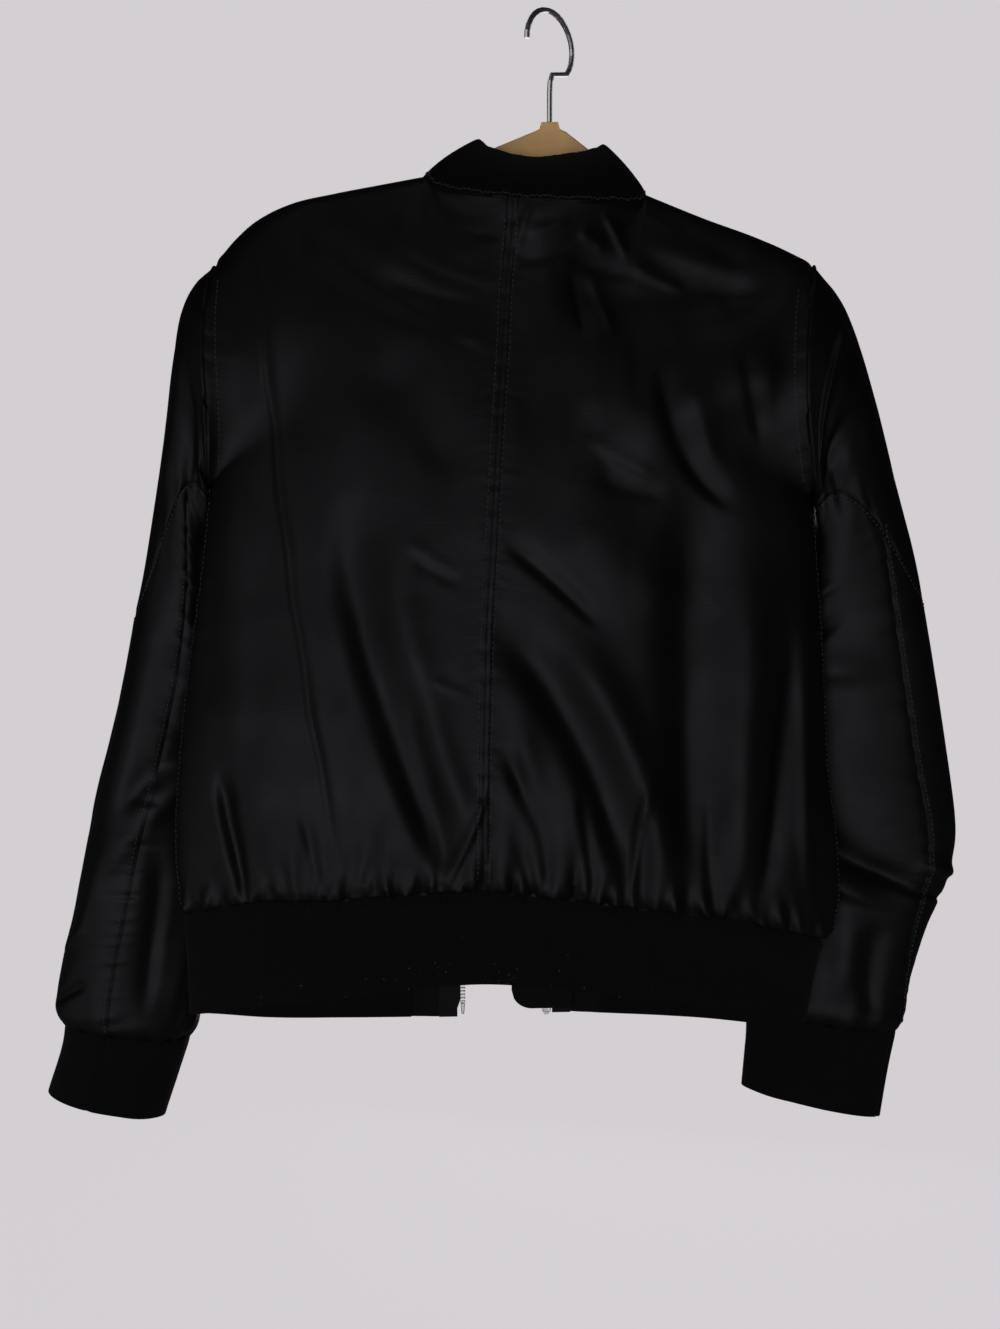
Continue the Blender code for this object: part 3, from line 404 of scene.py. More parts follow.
# %% [markdown]
# ## Folds, placed one by one
#
# Satin shows its folds by the light they turn away. Each main fold is one row of a table: where
# it starts and ends, how far it bows sideways, half its width, its height (negative for a
# trough) and its lean, which makes one flank steeper than the other. Simulation could drape the
# shell, but it would not put the folds where this garment has them, so they are listed one by one.

# %% Folds on the back
BACK_FOLDS = [
    # from_x from_z   to_x   to_z   bow  half  height lean
    (-209, -180, -151, -634, 9, 5, 1.7, 2.4),        # long thin crease down the left half
    (-196, -190, -136, -640, 9, 24, -2.6, 0.3),
    (-240, -300, -222, -600, 3, 16, 1.8, 0.2),
    (-147, -358, -68, -640, 14, 19, -8.6, 0.6),      # dark trough left of the seam
    (-120, -380, -44, -606, 11, 14, 3.6, 0.0),
    (-104, -470, -70, -640, 2, 9, -2.2, 0.6),
    (-241, -546, -221, -658, 4, 8, -6.4, 1.0),
    (-214, -520, -190, -655, 3, 15, 2.0, 0.0),
    (-182, -575, -160, -652, 2, 6, -2.0, 0.8),
    (-186, -152, -60, -228, 6, 17, -4.8, 0.5),       # broad hollow from shoulder to seam
    (-118, -150, -48, -180, 0, 13, 2.2, 0.0),
    (-104, -380, -66, -404, 2, 6, 0.9, 1.0),
    (-100, -392, -62, -414, 2, 7, -0.8, 0.5),
    (-86, -482, -56, -494, 1, 5, 0.9, 1.5),
    (-76, -632, -46, -560, 4, 5, 3.2, 1.6),          # bright hook by the seam
    (-112, -166, -38, -196, 4, 8, 0.9, 1.0),         # three drag lines into the centre seam
    (-124, -190, -46, -214, 2, 7, -1.0, 0.8),
    (-104, -204, -42, -242, 3, 9, 1.0, 0.8),
    (-88, -158, -34, -163, 2, 5, -1.0, 0.8),
    (-124, -250, -60, -335, 4, 24, -2.2, 0.3),
    (-180, -255, -96, -420, -10, 28, 2.6, 0.2),
    (-26, -176, -12, -140, 0, 5, 1.8, 1.0),
    (20, -160, 40, -172, 2, 6, 1.5, 1.2),            # small bright fold below the neck
    (8, -176, 62, -188, 3, 10, -1.4, 0.8),
    (-26, -180, 16, -172, 4, 6, -1.5, 0.8),
    (-20, -163, 16, -153, 2, 5, 1.2, 1.0),
    (34, -142, 55, -178, -2, 5, 1.9, 1.2),           # falls from the neck, then turns out
    (55, -178, 98, -200, 2, 6, 1.6, 1.0),
    (54, -134, 98, -160, 2, 6, 1.4, 1.2),
    (68, -133, 100, -148, 1, 5, -1.3, 0.8),
    (30, -186, 44, -234, 1, 6, 1.6, 1.0),
    (16, -186, 26, -236, 1, 6, -1.5, 0.8),
    (70, -144, 146, -180, 3, 8, -1.2, 0.6),          # shoulder folds
    (62, -160, 152, -194, 4, 9, 1.0, 0.6),
    (56, -172, 160, -210, 6, 13, -1.6, 0.4),
    (0, -202, 172, -198, 14, 25, -8.4, 0.2),         # dark hollow below the shoulder
    (38, -310, 176, -254, 3, 35, 7.8, 0.3),          # full, lit cloth below it
    (77, -250, 136, -358, 15, 12, -3.8, 0.9),        # hooked trough
    (138, -240, 152, -310, 2, 9, -1.7, 0.8),
    (100, -262, 120, -330, 3, 10, 1.6, 0.4),
    (26, -306, 78, -336, 3, 8, 1.2, 1.0),
    (30, -330, 84, -350, 3, 10, -1.3, 0.6),
    (40, -200, 26, -302, 2, 13, 2.0, 0.2),
    (62, -226, 58, -290, -2, 11, -1.4, 0.3),
    (-33, -378, 36, -444, 0, 8, -2.8, 0.8),
    (-33, -528, 4, -644, -4, 9, -4.4, 0.6),
    (-38, -434, 64, -644, -11, 20, -9.8, 0.5),       # wide diagonal trough right of the seam
    (4, -440, 84, -626, -12, 15, 5.0, 0.2),
    (72, -556, 60, -642, 2, 5, 3.4, 1.4),            # sharp bright streak above the hem
    (24, -560, 34, -640, 2, 6, -2.2, 0.8),
    (106, -334, 110, -644, 9, 26, -9.6, 0.4),        # wide upright trough
    (150, -390, 148, -648, 7, 17, 5.0, 0.2),
    (120, -560, 122, -650, 2, 7, -2.0, 0.6),
    (178, -455, 154, -650, -4, 11, -4.4, 0.8),
    (190, -400, 194, -655, 2, 8, 2.8, 0.2),
    (14, -366, 100, -430, 5, 28, 2.4, 0.2),
    (-24, -500, 8, -640, 4, 9, 2.4, 0.6),
]

# %% [markdown]
# The fronts hang free of the wearer, so their folds are fewer and run down from the shoulders
# and the neck.

# %% Folds on the fronts
FRONT_FOLDS = [
    # from_x from_z   to_x   to_z   bow  half  height lean
    (-226, -230, -160, -430, 8, 18, -3.6, 0.6),
    (-196, -220, -128, -520, 10, 22, 3.0, 0.3),
    (-150, -180, -96, -330, -6, 14, -2.6, 0.7),
    (-168, -430, -110, -660, 8, 14, -4.0, 0.7),
    (-210, -480, -180, -660, -6, 14, 3.4, 0.4),
    (-130, -500, -96, -668, 4, 10, 2.8, 0.8),
    (-238, -420, -224, -640, 4, 9, -2.6, 0.6),
    (-110, -210, -84, -380, 4, 12, 2.2, 0.2),
    (-92, -400, -84, -600, 5, 8, -1.8, 0.5),
    (70, -190, 108, -350, 6, 14, -3.0, 0.6),
    (98, -180, 158, -400, -8, 20, 3.0, 0.3),
    (120, -320, 90, -560, 8, 16, -4.2, 0.6),
    (158, -300, 140, -600, -8, 18, 3.6, 0.3),
    (176, -420, 168, -650, 4, 9, -3.0, 0.7),
    (60, -380, 76, -650, -6, 12, 2.8, 0.5),
    (110, -540, 104, -672, 3, 9, -3.0, 0.9),
    (48, -220, 40, -430, 3, 9, -1.6, 0.4),
]


FOLD_WOBBLE = 0.14          # how far a fold strays sideways, as a share of its half width
FOLD_WAVE = 2.6             # half widths to each radian of that straying
FOLD_FADE = 0.3             # share of a fold's length over which each end dies out


def smooth(share):
    """A share eased at both ends, so that nothing starts or stops with a kink."""
    return share * share * (3 - 2 * share)


def folds(x, z, rows):
    """Summed height of soft ridges and troughs at points of a plane, in millimetres."""
    total = np.zeros_like(x)
    for from_x, from_z, to_x, to_z, bow, half, height, lean in rows:
        run = np.array([to_x - from_x, to_z - from_z], dtype=float)
        length = np.hypot(*run)
        run /= length
        along = ((x - from_x) * run[0] + (z - from_z) * run[1]) / length
        part = np.clip(along, 0, 1)
        aside = (x - from_x) * run[1] - (z - from_z) * run[0] - bow * 4 * part * (1 - part)
        aside = aside + FOLD_WOBBLE * half * np.sin(part * length / (FOLD_WAVE * half) + from_x)
        steep = np.where(aside > 0, 1 + lean, 1) / (1.25 - 0.5 * part)   # wider where it starts
        ends = smooth(np.clip(np.minimum(along, 1 - along) / FOLD_FADE + 0.15, 0, 1))
        total += height * ends * np.exp(-(aside / half * steep) ** 2)
    return total


print("folds laid:", len(BACK_FOLDS), "on the back,", len(FRONT_FOLDS), "on the fronts")

# %% [markdown]
# ## What sewing does to satin
#
# Three small effects make a sewn garment look sewn. Cloth gathered on to elastic rib stands in
# short upright pleats. A seam pulls the cloth in along its line. And thread tension puckers the
# cloth beside the seam into small uneven waves. Last, worn nylon keeps a memory of being
# crumpled, which is a faint uneven relief all over.

# %% Gathers, seams, puckers and crumple
def gathers(along, above, spacing, tall, height, half, seed, start=-420.0, end=420.0):
    """Uneven pleats and creases beside a gathered seam: along it and above it, in millimetres."""
    dice = np.random.default_rng(seed)
    total = np.zeros(np.broadcast(along, above).shape)
    at = start
    while at < end:
        at += spacing * dice.uniform(0.45, 1.6)
        length = tall * dice.uniform(0.3, 1.1) ** 1.4 + 5
        wide = half * dice.uniform(0.6, 1.4)
        lean = dice.uniform(-0.36, 0.36) * length
        rise = height * dice.uniform(0.3, 1.5) * dice.choice((-1, 1))
        part = np.clip(above / length, 0, 1)
        aside = (along - at - lean * part) / (wide * (1 + 1.4 * part))
        fold = np.exp(-aside ** 2) - 0.45 * np.exp(-(aside / 2.4) ** 2)
        total += rise * (1 - part) ** 1.4 * fold
    return total


def wander(x, seed):
    """Smooth uneven wave between -1 and 1 along a line in millimetres."""
    dice = np.random.default_rng(seed)
    total = np.zeros_like(x)
    for wave in dice.uniform(6.5, 23.0, 7):
        total += np.sin(x * 2 * math.pi / wave + dice.uniform(0, 2 * math.pi))
    return total / 3.2


def puckers(along, away, seed, height=0.55, reach=8.0):
    """Small waves beside a seam, dying out away from it."""
    return height * wander(along + 0.25 * away, seed) * np.exp(-np.abs(away) / reach)


def pinch(away, depth=0.9, half=2.0):
    """The groove of a seam."""
    return -depth * np.exp(-(away / half) ** 2)


LATTICE = 64                # cells after which the noise repeats


def value_noise(u, v, seed):
    """Smooth uneven relief between -1 and 1 with cells one unit wide."""
    lattice = np.random.default_rng(seed).uniform(-1, 1, (LATTICE, LATTICE))
    iu, iv = np.floor(u).astype(int), np.floor(v).astype(int)
    fu, fv = u - iu, v - iv
    fu, fv = fu ** 3 * (fu * (6 * fu - 15) + 10), fv ** 3 * (fv * (6 * fv - 15) + 10)

    def at(du, dv):
        return lattice[(iu + du) % LATTICE, (iv + dv) % LATTICE]

    return ((at(0, 0) * (1 - fu) + at(1, 0) * fu) * (1 - fv)
            + (at(0, 1) * (1 - fu) + at(1, 1) * fu) * fv)


def crumple(u, v, seed, height=1.0):
    """Faint memory of folding in nylon satin, in millimetres, longer downwards than across."""
    broad = value_noise(u / 46 + 0.3 * v / 90, v / 88, seed) * 1.5
    middle = value_noise(u / 21 - 0.2 * v / 40, v / 37, seed + 1) * 0.42
    fine = value_noise(u / 9 + 0.3 * v / 14, v / 15, seed + 2) * 0.1
    return height * (broad + middle + fine)


sample = crumple(np.linspace(0, 300, 200), np.linspace(0, 400, 200), 11)
print("crumple between", round(float(sample.min()), 1), "and", round(float(sample.max()), 1), "mm")

# %% [markdown]
# A panel's relief adds all of this up. At a sewn edge every relief comes to one common height,
# so that the two pieces meet without a slit.

# %% Relief of the body panels
BACK_STITCH = 4.4           # mm from the centre-back seam to each of its two rows of stitches
PUFF = 3.2                  # how far the satin blouses out over the gathered seam
SEAM_DIP = -1.2             # where two sewn edges meet, just inside the middle surface
SEAM_REACH = 1.7            # mm over which a panel comes to that height at the hem seam
SIDE_REACH = 0.8            # the same at the side seam
RIB_REACH = 3.5             # the same for a rib band
HEM_GATHERS = [
    # spacing, how tall, height, half width, seeds for back and front
    (6.2, 17.0, 3.6, 2.0, (5, 6)),
    (11.0, 38.0, 4.2, 3.0, (15, 16)),
    (27.0, 92.0, 4.6, 6.0, (7, 8)),
]


def to_seam(height, away, reach=SEAM_REACH):
    """Bring a relief to the common height of a seam, as it gets close to it."""
    return SEAM_DIP + (height - SEAM_DIP) * (1 - np.exp(-(away / reach) ** 2))


def hem_height(face, point):
    """Height above the seam of the hem rib."""
    return point[..., 2] - hem(point[..., 0])[..., 0 if face == BACK else 2]


def body_relief(face, side):
    """Relief of a body panel, as a function of its two parameters."""
    rows = BACK_FOLDS if face == BACK else FRONT_FOLDS

    def relief(angle, step):
        point = body(face, side, angle, step)
        x, z = point[..., 0], point[..., 2]
        row = row_value(step)
        above = np.maximum(hem_height(face, point), 0)
        from_side = np.abs(down(row)[..., SIDE_COLUMN[side]] - x)
        below_top = np.clip((row - 0.004) / 0.03, 0, 1)
        height = folds(x, z, rows)
        height = height + crumple(x, z, 11 if face == BACK else 37)
        height = height * np.clip(from_side / 26, 0.15, 1) * below_top
        for spacing, tall, high, half, seeds in HEM_GATHERS:
            height += gathers(x, above, spacing, tall, high, half, seeds[int(face == FRONT)])
        height += PUFF * (1 + 0.35 * wander(x, 9)) * np.exp(-((above - 9) / 11) ** 2)
        height += puckers(z, from_side, 21, 0.5, 7.0) + pinch(from_side, 0.6)
        if face == BACK:
            from_seam = np.abs(x - down(row)[..., 1])
            height = height * (1 - 0.4 * np.exp(-(from_seam / 8) ** 2))
            height += 0.6 / (1 + np.exp((from_seam - BACK_STITCH - 0.7) / 0.4))
            height += pinch(from_seam - BACK_STITCH, 0.55, 0.8) + pinch(from_seam, 0.3, 0.7)
            height += 0.34 * wander(z, 23) * np.exp(-((from_seam - 2.6) / 2.6) ** 2)
            outside = np.maximum(from_seam - BACK_STITCH, 0)
            uneven = 0.55 + 0.45 * value_noise(x / 30, z / 22, 27)
            height += puckers(z, outside, 25, 0.6, 6.0) * (1 - np.exp(-outside / 1.5)) * uneven
        return to_seam(to_seam(height, from_side, SIDE_REACH), above)

    return relief


print("gathers of", len(HEM_GATHERS), "sizes above the hem, up to", HEM_GATHERS[-1][1], "mm tall")

# %% [markdown]
# ## From a surface to a wall of cloth
#
# Cloth has two faces. A wall is made from a grid of points on the surface, pushed out along the
# normal by half the thickness and in by the same, with its relief added to both, and closed by a
# rim. Solidify could thicken a single sheet too, but here both skins are worked out directly,
# which keeps the rib of a knit the same on both faces and the seam edges exact.

# %% Making a wall
RIM_ANGLE = 58              # degrees past which an edge is a rim, and not a fold


def sized_grid(points):
    """Distances along a grid's columns and rows, in metres, for its cloth coordinates."""
    over = np.linalg.norm(np.diff(points, axis=1), axis=-1).mean(axis=0)
    along = np.linalg.norm(np.diff(points, axis=0), axis=-1).mean(axis=1)
    u = np.concatenate([[0], np.cumsum(over)])
    v = np.concatenate([[0], np.cumsum(along)])
    return np.meshgrid(u * MM, v * MM)


def grid_area(points, tube):
    """Area of a grid's cloth, in square metres."""
    if tube:
        points = np.concatenate([points, points[:, :1]], axis=1)
    a, b = points[:-1, :-1], points[1:, :-1]
    c, d = points[1:, 1:], points[:-1, 1:]
    halves = np.linalg.norm(np.cross(b - a, c - a), axis=-1)
    others = np.linalg.norm(np.cross(c - a, d - a), axis=-1)
    return float((halves + others).sum() / 2) * MM * MM


def mesh_of(name, points, faces, material, uv=None):
    """A mesh object at the origin from points in millimetres."""
    mesh = bpy.data.meshes.new(name)
    mesh.from_pydata(np.asarray(points) * MM, [], faces)
    if uv is not None:
        layer = mesh.uv_layers.new(name="cloth")
        corner = np.empty(len(mesh.loops), dtype=np.int32)
        mesh.loops.foreach_get("vertex_index", corner)
        layer.uv.foreach_set("vector", uv[corner].astype(np.float32).ravel())
    mesh.materials.append(material)
    mesh.shade_smooth()
    made = bpy.data.objects.new(name, mesh)
    bpy.context.collection.objects.link(made)
    return made


def wall(name, skin, first, second, thick, material, inner_finish=None, ribs=None, tube=False):
    """Cloth wall on a grid of parameters. Relief moves both faces, and ribs thicken both.

    A tube closes on itself across its columns. The cut kept with the piece is the flat width,
    length and area of its middle surface without folds, in metres.
    """
    first, second = np.broadcast_arrays(np.asarray(first, float), np.asarray(second, float))
    middle, out = skin.place(first, second)
    half = np.full(first.shape, thick / 2)
    if ribs is not None:
        half = half + ribs
    outer, inside = middle + out * half[..., None], middle - out * half[..., None]
    rows, columns = first.shape
    number = np.arange(rows * columns).reshape(rows, columns)
    inner = rows * columns
    right = np.roll(number, -1, axis=1) if tube else number[:, 1:]
    here = number if tube else number[:, :-1]
    a, b, c, d = here[:-1], here[1:], right[1:], right[:-1]
    faces = [np.stack([a, b, c, d], -1), np.stack([a, d, c, b], -1) + inner]
    faces.append(np.stack([here[0], right[0], right[0] + inner, here[0] + inner], -1))
    faces.append(np.stack([here[-1], here[-1] + inner, right[-1] + inner, right[-1]], -1))
    if not tube:
        for column, turned in ((number[:, 0], False), (number[:, -1], True)):
            top, low = column[:-1], column[1:]
            rim = np.stack([top, top + inner, low + inner, low], -1)
            faces.append(rim[:, ::-1] if turned else rim)
    quads = np.concatenate([part.reshape(-1, 4) for part in faces])
    i, j = rows // 2, columns // 2
    turn = np.cross(middle[i, j] - middle[i - 1, j], middle[i - 1, j] - middle[i - 1, j - 1])
    if np.dot(turn, out[i, j]) < 0:
        quads = quads[:, ::-1]
    points = np.concatenate([outer.reshape(-1, 3), inside.reshape(-1, 3)])
    u, v = sized_grid(middle)
    flat = np.stack([u.ravel(), v.ravel()], axis=-1)
    piece = mesh_of(name + "_cloth", points, quads, material, np.concatenate([flat, flat]))
    piece.data.set_sharp_from_angle(angle=math.radians(RIM_ANGLE))
    if inner_finish is not None:
        piece.data.materials.append(inner_finish)
        worn = np.zeros(len(quads), dtype=np.int32)
        worn[a.size:2 * a.size] = 1
        piece.data.polygons.foreach_set("material_index", worn)
    piece["cut"] = [float(u.max()), float(v.max()), grid_area(skin.surface(first, second), tube)]
    return piece


# %% [markdown]
# ## Finishes
#
# A finish starts from what the surface is. One function turns a hex colour into linear light,
# and one adds a node with its settings and links. Patterns are sized in real millimetres.

# %% Helpers for finishes
def colour(text):
    """Linear colour from an sRGB hex value."""
    parts = [int(text[i:i + 2], 16) / 255 for i in (1, 3, 5)]
    return [p / 12.92 if p <= 0.04045 else ((p + 0.055) / 1.055) ** 2.4 for p in parts] + [1.0]


def node(tree, kind, inputs=None, **settings):
    """Add a node, set it, and link or set its inputs."""
    made = tree.nodes.new(kind)
    for key, value in settings.items():
        setattr(made, key, value)
    for key, value in (inputs or {}).items():
        if isinstance(value, bpy.types.NodeSocket):
            tree.links.new(value, made.inputs[key])
        else:
            made.inputs[key].default_value = value
    return made


def finish_of(name, base, roughness, **sockets):
    """A new material with its shader set, ready for a pattern."""
    material = bpy.data.materials.new(name)
    material.use_nodes = True
    tree = material.node_tree
    shader = tree.nodes["Principled BSDF"]
    shader.inputs["Base Color"].default_value = colour(base)
    shader.inputs["Roughness"].default_value = roughness
    for key, value in sockets.items():
        shader.inputs[key.replace("_", " ")].default_value = value
    return material, tree, shader


# %% [markdown]
# ### Black nylon satin
#
# Satin floats long filaments over the surface, so it mirrors light in a broad soft band instead
# of scattering it. The colour is near black and what the eye reads is the sheen: a dark glossy
# dielectric with a middling roughness, uneven by a few hundredths, and a fine horizontal
# slub where the weft yarns vary.

# %% Satin
def make_satin():
    material, tree, shader = finish_of("black_nylon_satin", "#050507", 0.52, IOR=1.5,
                                       Specular_IOR_Level=0.42)
    place = node(tree, "ShaderNodeTexCoord")
    slub = node(tree, "ShaderNodeMapping", {"Vector": place.outputs["Object"],
                                            "Scale": (70.0, 70.0, 1100.0)})
    yarns = node(tree, "ShaderNodeTexNoise", {"Vector": slub.outputs[0], "Scale": 1.0,
                                              "Detail": 2.0})
    cloud = node(tree, "ShaderNodeTexNoise", {"Vector": place.outputs["Object"], "Scale": 24.0,
                                              "Detail": 2.0})
    rough = node(tree, "ShaderNodeMapRange", {"Value": cloud.outputs["Fac"], "From Min": 0.3,
                                              "From Max": 0.7, "To Min": 0.48, "To Max": 0.56})
    tree.links.new(rough.outputs[0], shader.inputs["Roughness"])
    fine = node(tree, "ShaderNodeBump", {"Height": yarns.outputs["Fac"], "Strength": 0.3,
                                         "Distance": 0.0003})
    tree.links.new(fine.outputs[0], shader.inputs["Normal"])
    return material


satin = make_satin()
print("finish:", satin.name)

# %% [markdown]
# ### Lining
#
# The inner face of the satin pieces is a plain-woven taffeta lining, duller than the satin. It
# is what shows inside the neck, between the fronts and on the inner side of the hem's satin
# ends.

# %% Lining
def make_lining():
    material, tree, shader = finish_of("black_taffeta_lining", "#060608", 0.72, IOR=1.5,
                                       Specular_IOR_Level=0.25)
    place = node(tree, "ShaderNodeUVMap", uv_map="cloth")
    weave = node(tree, "ShaderNodeTexNoise", {"Vector": place.outputs[0], "Scale": 900.0,
                                              "Detail": 2.0})
    bump = node(tree, "ShaderNodeBump", {"Height": weave.outputs["Fac"], "Strength": 0.3,
                                         "Distance": 0.0002})
    tree.links.new(bump.outputs[0], shader.inputs["Normal"])
    return material


lining = make_lining()
print("finish:", lining.name)

# %% [markdown]
# ### Black rib knit
#
# Rib bands are cotton and elastane yarn, matte and slightly warm. Their ribs are modelled; the
# finish adds the knitted loops along each rib and a faint fuzz, which is a little sheen. The
# collar gets a darker, less fuzzy copy of the same knit: its darker colour is painted shade.

# %% Rib knit
RIB_PITCH = 2.1             # mm from one rib to the next
LOOP_PITCH = 1.5            # mm from one knitted loop to the next


def make_rib(name, base, fuzziness):
    material, tree, shader = finish_of(name, base, 0.9, Sheen_Weight=fuzziness,
                                       Sheen_Roughness=0.5, IOR=1.35)
    place = node(tree, "ShaderNodeUVMap", uv_map="cloth")
    spread = node(tree, "ShaderNodeMapping", {"Vector": place.outputs[0],
                                              "Scale": (1000 / RIB_PITCH, 1000 / LOOP_PITCH, 1)})
    loops = node(tree, "ShaderNodeTexVoronoi", {"Vector": spread.outputs[0], "Scale": 1.0,
                                                "Randomness": 0.35})
    fuzz = node(tree, "ShaderNodeTexNoise", {"Vector": spread.outputs[0], "Scale": 3.0})
    both = node(tree, "ShaderNodeMath", {0: loops.outputs["Distance"], 1: fuzz.outputs["Fac"]},
                operation="SUBTRACT")
    bump = node(tree, "ShaderNodeBump", {"Height": both.outputs[0], "Strength": 0.5,
                                         "Distance": 0.0006})
    tree.links.new(bump.outputs[0], shader.inputs["Normal"])
    return material


rib = make_rib("black_rib_knit", "#100e10", 0.08)
# the collar's copy of the rib is darker with less sheen: painted shade at the top of the jacket
collar_rib_painted_shade = make_rib("black_rib_knit_painted_shade", "#060506", 0.02)
print("finishes:", rib.name, "and", collar_rib_painted_shade.name)

# %% [markdown]
# ### Tape, thread, metal and flock
#
# Zip tape is a dense herringbone weave. Thread is trilobal polyester with a slight gloss. The
# zip is nickel-plated brass, dulled by handling, so its highlights are soft and uneven. The
# hanger is moulded plastic with a coat of short nylon flock, which glows at its edges, and the
# hook is bright drawn wire, which mirrors in long narrow streaks.

# %% The other finishes
def make_tape():
    material, tree, shader = finish_of("black_woven_zip_tape", "#0c0c0d", 0.8, Sheen_Weight=0.1)
    place = node(tree, "ShaderNodeUVMap", uv_map="cloth")
    twill = node(tree, "ShaderNodeTexWave", {"Vector": place.outputs[0], "Scale": 260.0,
                                             "Distortion": 0.4}, bands_direction="DIAGONAL")
    bump = node(tree, "ShaderNodeBump", {"Height": twill.outputs["Fac"], "Strength": 0.5,
                                         "Distance": 0.0003})
    tree.links.new(bump.outputs[0], shader.inputs["Normal"])
    return material


def make_thread(name, base):
    material, tree, shader = finish_of(name, base, 0.45, Sheen_Weight=0.2)
    place = node(tree, "ShaderNodeTexCoord")
    ply = node(tree, "ShaderNodeTexNoise", {"Vector": place.outputs["Object"], "Scale": 2200.0})
    bump = node(tree, "ShaderNodeBump", {"Height": ply.outputs["Fac"], "Strength": 0.4,
                                         "Distance": 0.0002})
    tree.links.new(bump.outputs[0], shader.inputs["Normal"])
    return material


def make_metal(name, base, low, high, scratch):
    """Plated or drawn metal: its roughness wanders between two values, with fine scratches."""
    material, tree, shader = finish_of(name, base, low, Metallic=1.0)
    place = node(tree, "ShaderNodeTexCoord")
    wear = node(tree, "ShaderNodeTexNoise", {"Vector": place.outputs["Object"], "Scale": 300.0,
                                             "Detail": 4.0})
    rough = node(tree, "ShaderNodeMapRange", {"Value": wear.outputs["Fac"], "From Min": 0.35,
                                              "From Max": 0.7, "To Min": low, "To Max": high})
    tree.links.new(rough.outputs[0], shader.inputs["Roughness"])
    bump = node(tree, "ShaderNodeBump", {"Height": wear.outputs["Fac"], "Strength": scratch,
                                         "Distance": 0.0001})
    tree.links.new(bump.outputs[0], shader.inputs["Normal"])
    return material


def make_flock():
    material, tree, shader = finish_of("beige_nylon_flock", "#c19b66", 0.95, Sheen_Weight=0.45,
                                       Sheen_Roughness=0.45)
    shader.inputs["Sheen Tint"].default_value = colour("#f3dcb4")
    place = node(tree, "ShaderNodeTexCoord")
    nap = node(tree, "ShaderNodeTexNoise", {"Vector": place.outputs["Object"], "Scale": 1700.0,
                                            "Detail": 2.0})
    stroke = node(tree, "ShaderNodeTexNoise", {"Vector": place.outputs["Object"], "Scale": 55.0,
                                               "Detail": 2.0})
    tone = node(tree, "ShaderNodeMix", {"Factor": stroke.outputs["Fac"]}, data_type="RGBA")
    tone.inputs["A"].default_value = colour("#b58d58")
    tone.inputs["B"].default_value = colour("#cda873")
    tree.links.new(tone.outputs["Result"], shader.inputs["Base Color"])
    bump = node(tree, "ShaderNodeBump", {"Height": nap.outputs["Fac"], "Strength": 0.6,
                                         "Distance": 0.0004})
    tree.links.new(bump.outputs[0], shader.inputs["Normal"])
    return material


tape = make_tape()
thread = make_thread("black_polyester_thread", "#4c4c54")
grey_thread = make_thread("faded_coverstitch_thread", "#5c5a5c")
nickel = make_metal("nickel_plated_zip", "#c9c7c2", 0.22, 0.38, 0.3)
wire_steel = make_metal("drawn_steel_wire", "#d2d2d4", 0.2, 0.28, 0.08)
flock = make_flock()
print("finishes:", ", ".join(finish.name for finish in (tape, thread, grey_thread, nickel, wire_steel,
                                                        flock)))

# %% [markdown]
# ## The panels of the body
#
# Two backs meet at the centre-back seam and two fronts run from the side seams to the zip. Their
# columns are spaced evenly round the shell, 2 mm apart at the back and 3 mm at the fronts, and
# their rows get closer towards the hem, so that the gathers there are real shape.

# %% Backs and fronts
GRID = 2.6                  # mm between rows of a back, and between columns of a sleeve
BACK_GRID, FRONT_GRID = 2.05, 3.1
NEAR_SEAM = np.array([0.0, 0.8, 1.7, 2.7, 3.6, 4.4, 5.2, 6.2, 7.8, 10.0])
NEAR_HEM = np.array([7.4, 6.0, 4.7, 3.5, 2.5, 1.7, 1.0, 0.4])
EVEN_ROWS, EVEN_END = 510.0, 9.0    # mm of evenly spaced rows, which end this far above the seam
MID_ROW = 0.6               # row value at which the columns are spaced evenly
SAMPLES = 400               # points along a line that is measured
SATIN_THICK = 1.6
RIB_THICK = 2.0
PANEL_LENGTH = 500.0        # mm from the shoulder fold to the hem seam, near enough
SEAM_OVERLAP = 0.35         # mm of satin tucked behind the rib at their seam


def back_angles(side, start, end):
    """Angles spaced evenly round the back, closer together beside the centre seam."""
    fine = np.linspace(start, end, SAMPLES)
    length = run_length(body(BACK, side, fine, step_of(np.full(SAMPLES, MID_ROW))))
    at = np.linspace(0, length[-1], int(length[-1] / BACK_GRID) + 1)
    at = np.concatenate([NEAR_SEAM, at[at > NEAR_SEAM[-1] + 1.4]])
    return np.interp(at, length, fine)


def body_steps(spacing=GRID):
    """Rows of a body panel, from just short of the shoulder fold to inside the hem seam."""
    over = np.linspace(0.004, 1, 7)[:-1]
    straight = np.linspace(1, float(step_of(1 - EVEN_END / PANEL_LENGTH)), int(EVEN_ROWS / spacing))
    last = step_of(1 - np.append(NEAR_HEM, -SEAM_OVERLAP) / PANEL_LENGTH)
    return np.concatenate([over, straight, last])[:, None]


def rib_steps():
    """Rows of a hem band, close together where it meets the satin."""
    near = step_of(1 + np.array([0.0, 0.6, 1.4, 2.6, 4.2]) / PANEL_LENGTH)
    rest = np.linspace(float(step_of(1 + 6.6 / PANEL_LENGTH)), float(step_of(HEM_END)), 14)
    return np.concatenate([near, rest])[:, None]


SIDE_END = 90.3             # a hair past the side, so that the side seam has no slit
made, skins = {}, {}
for side in ("left", "right"):
    skin = skins["back_" + side] = body_skin(BACK, side, body_relief(BACK, side))
    angles = back_angles(side, float(angle_of(1e-5)), SIDE_END)
    made["back_" + side] = wall("back_" + side, skin, angles[None, :], body_steps(), SATIN_THICK,
                                satin, lining)
print("back panels:", [len(piece.data.polygons) for piece in made.values()], "faces")

# %% [markdown]
# A front edge slopes, so the columns of a front are shares of the way from that edge to the side.

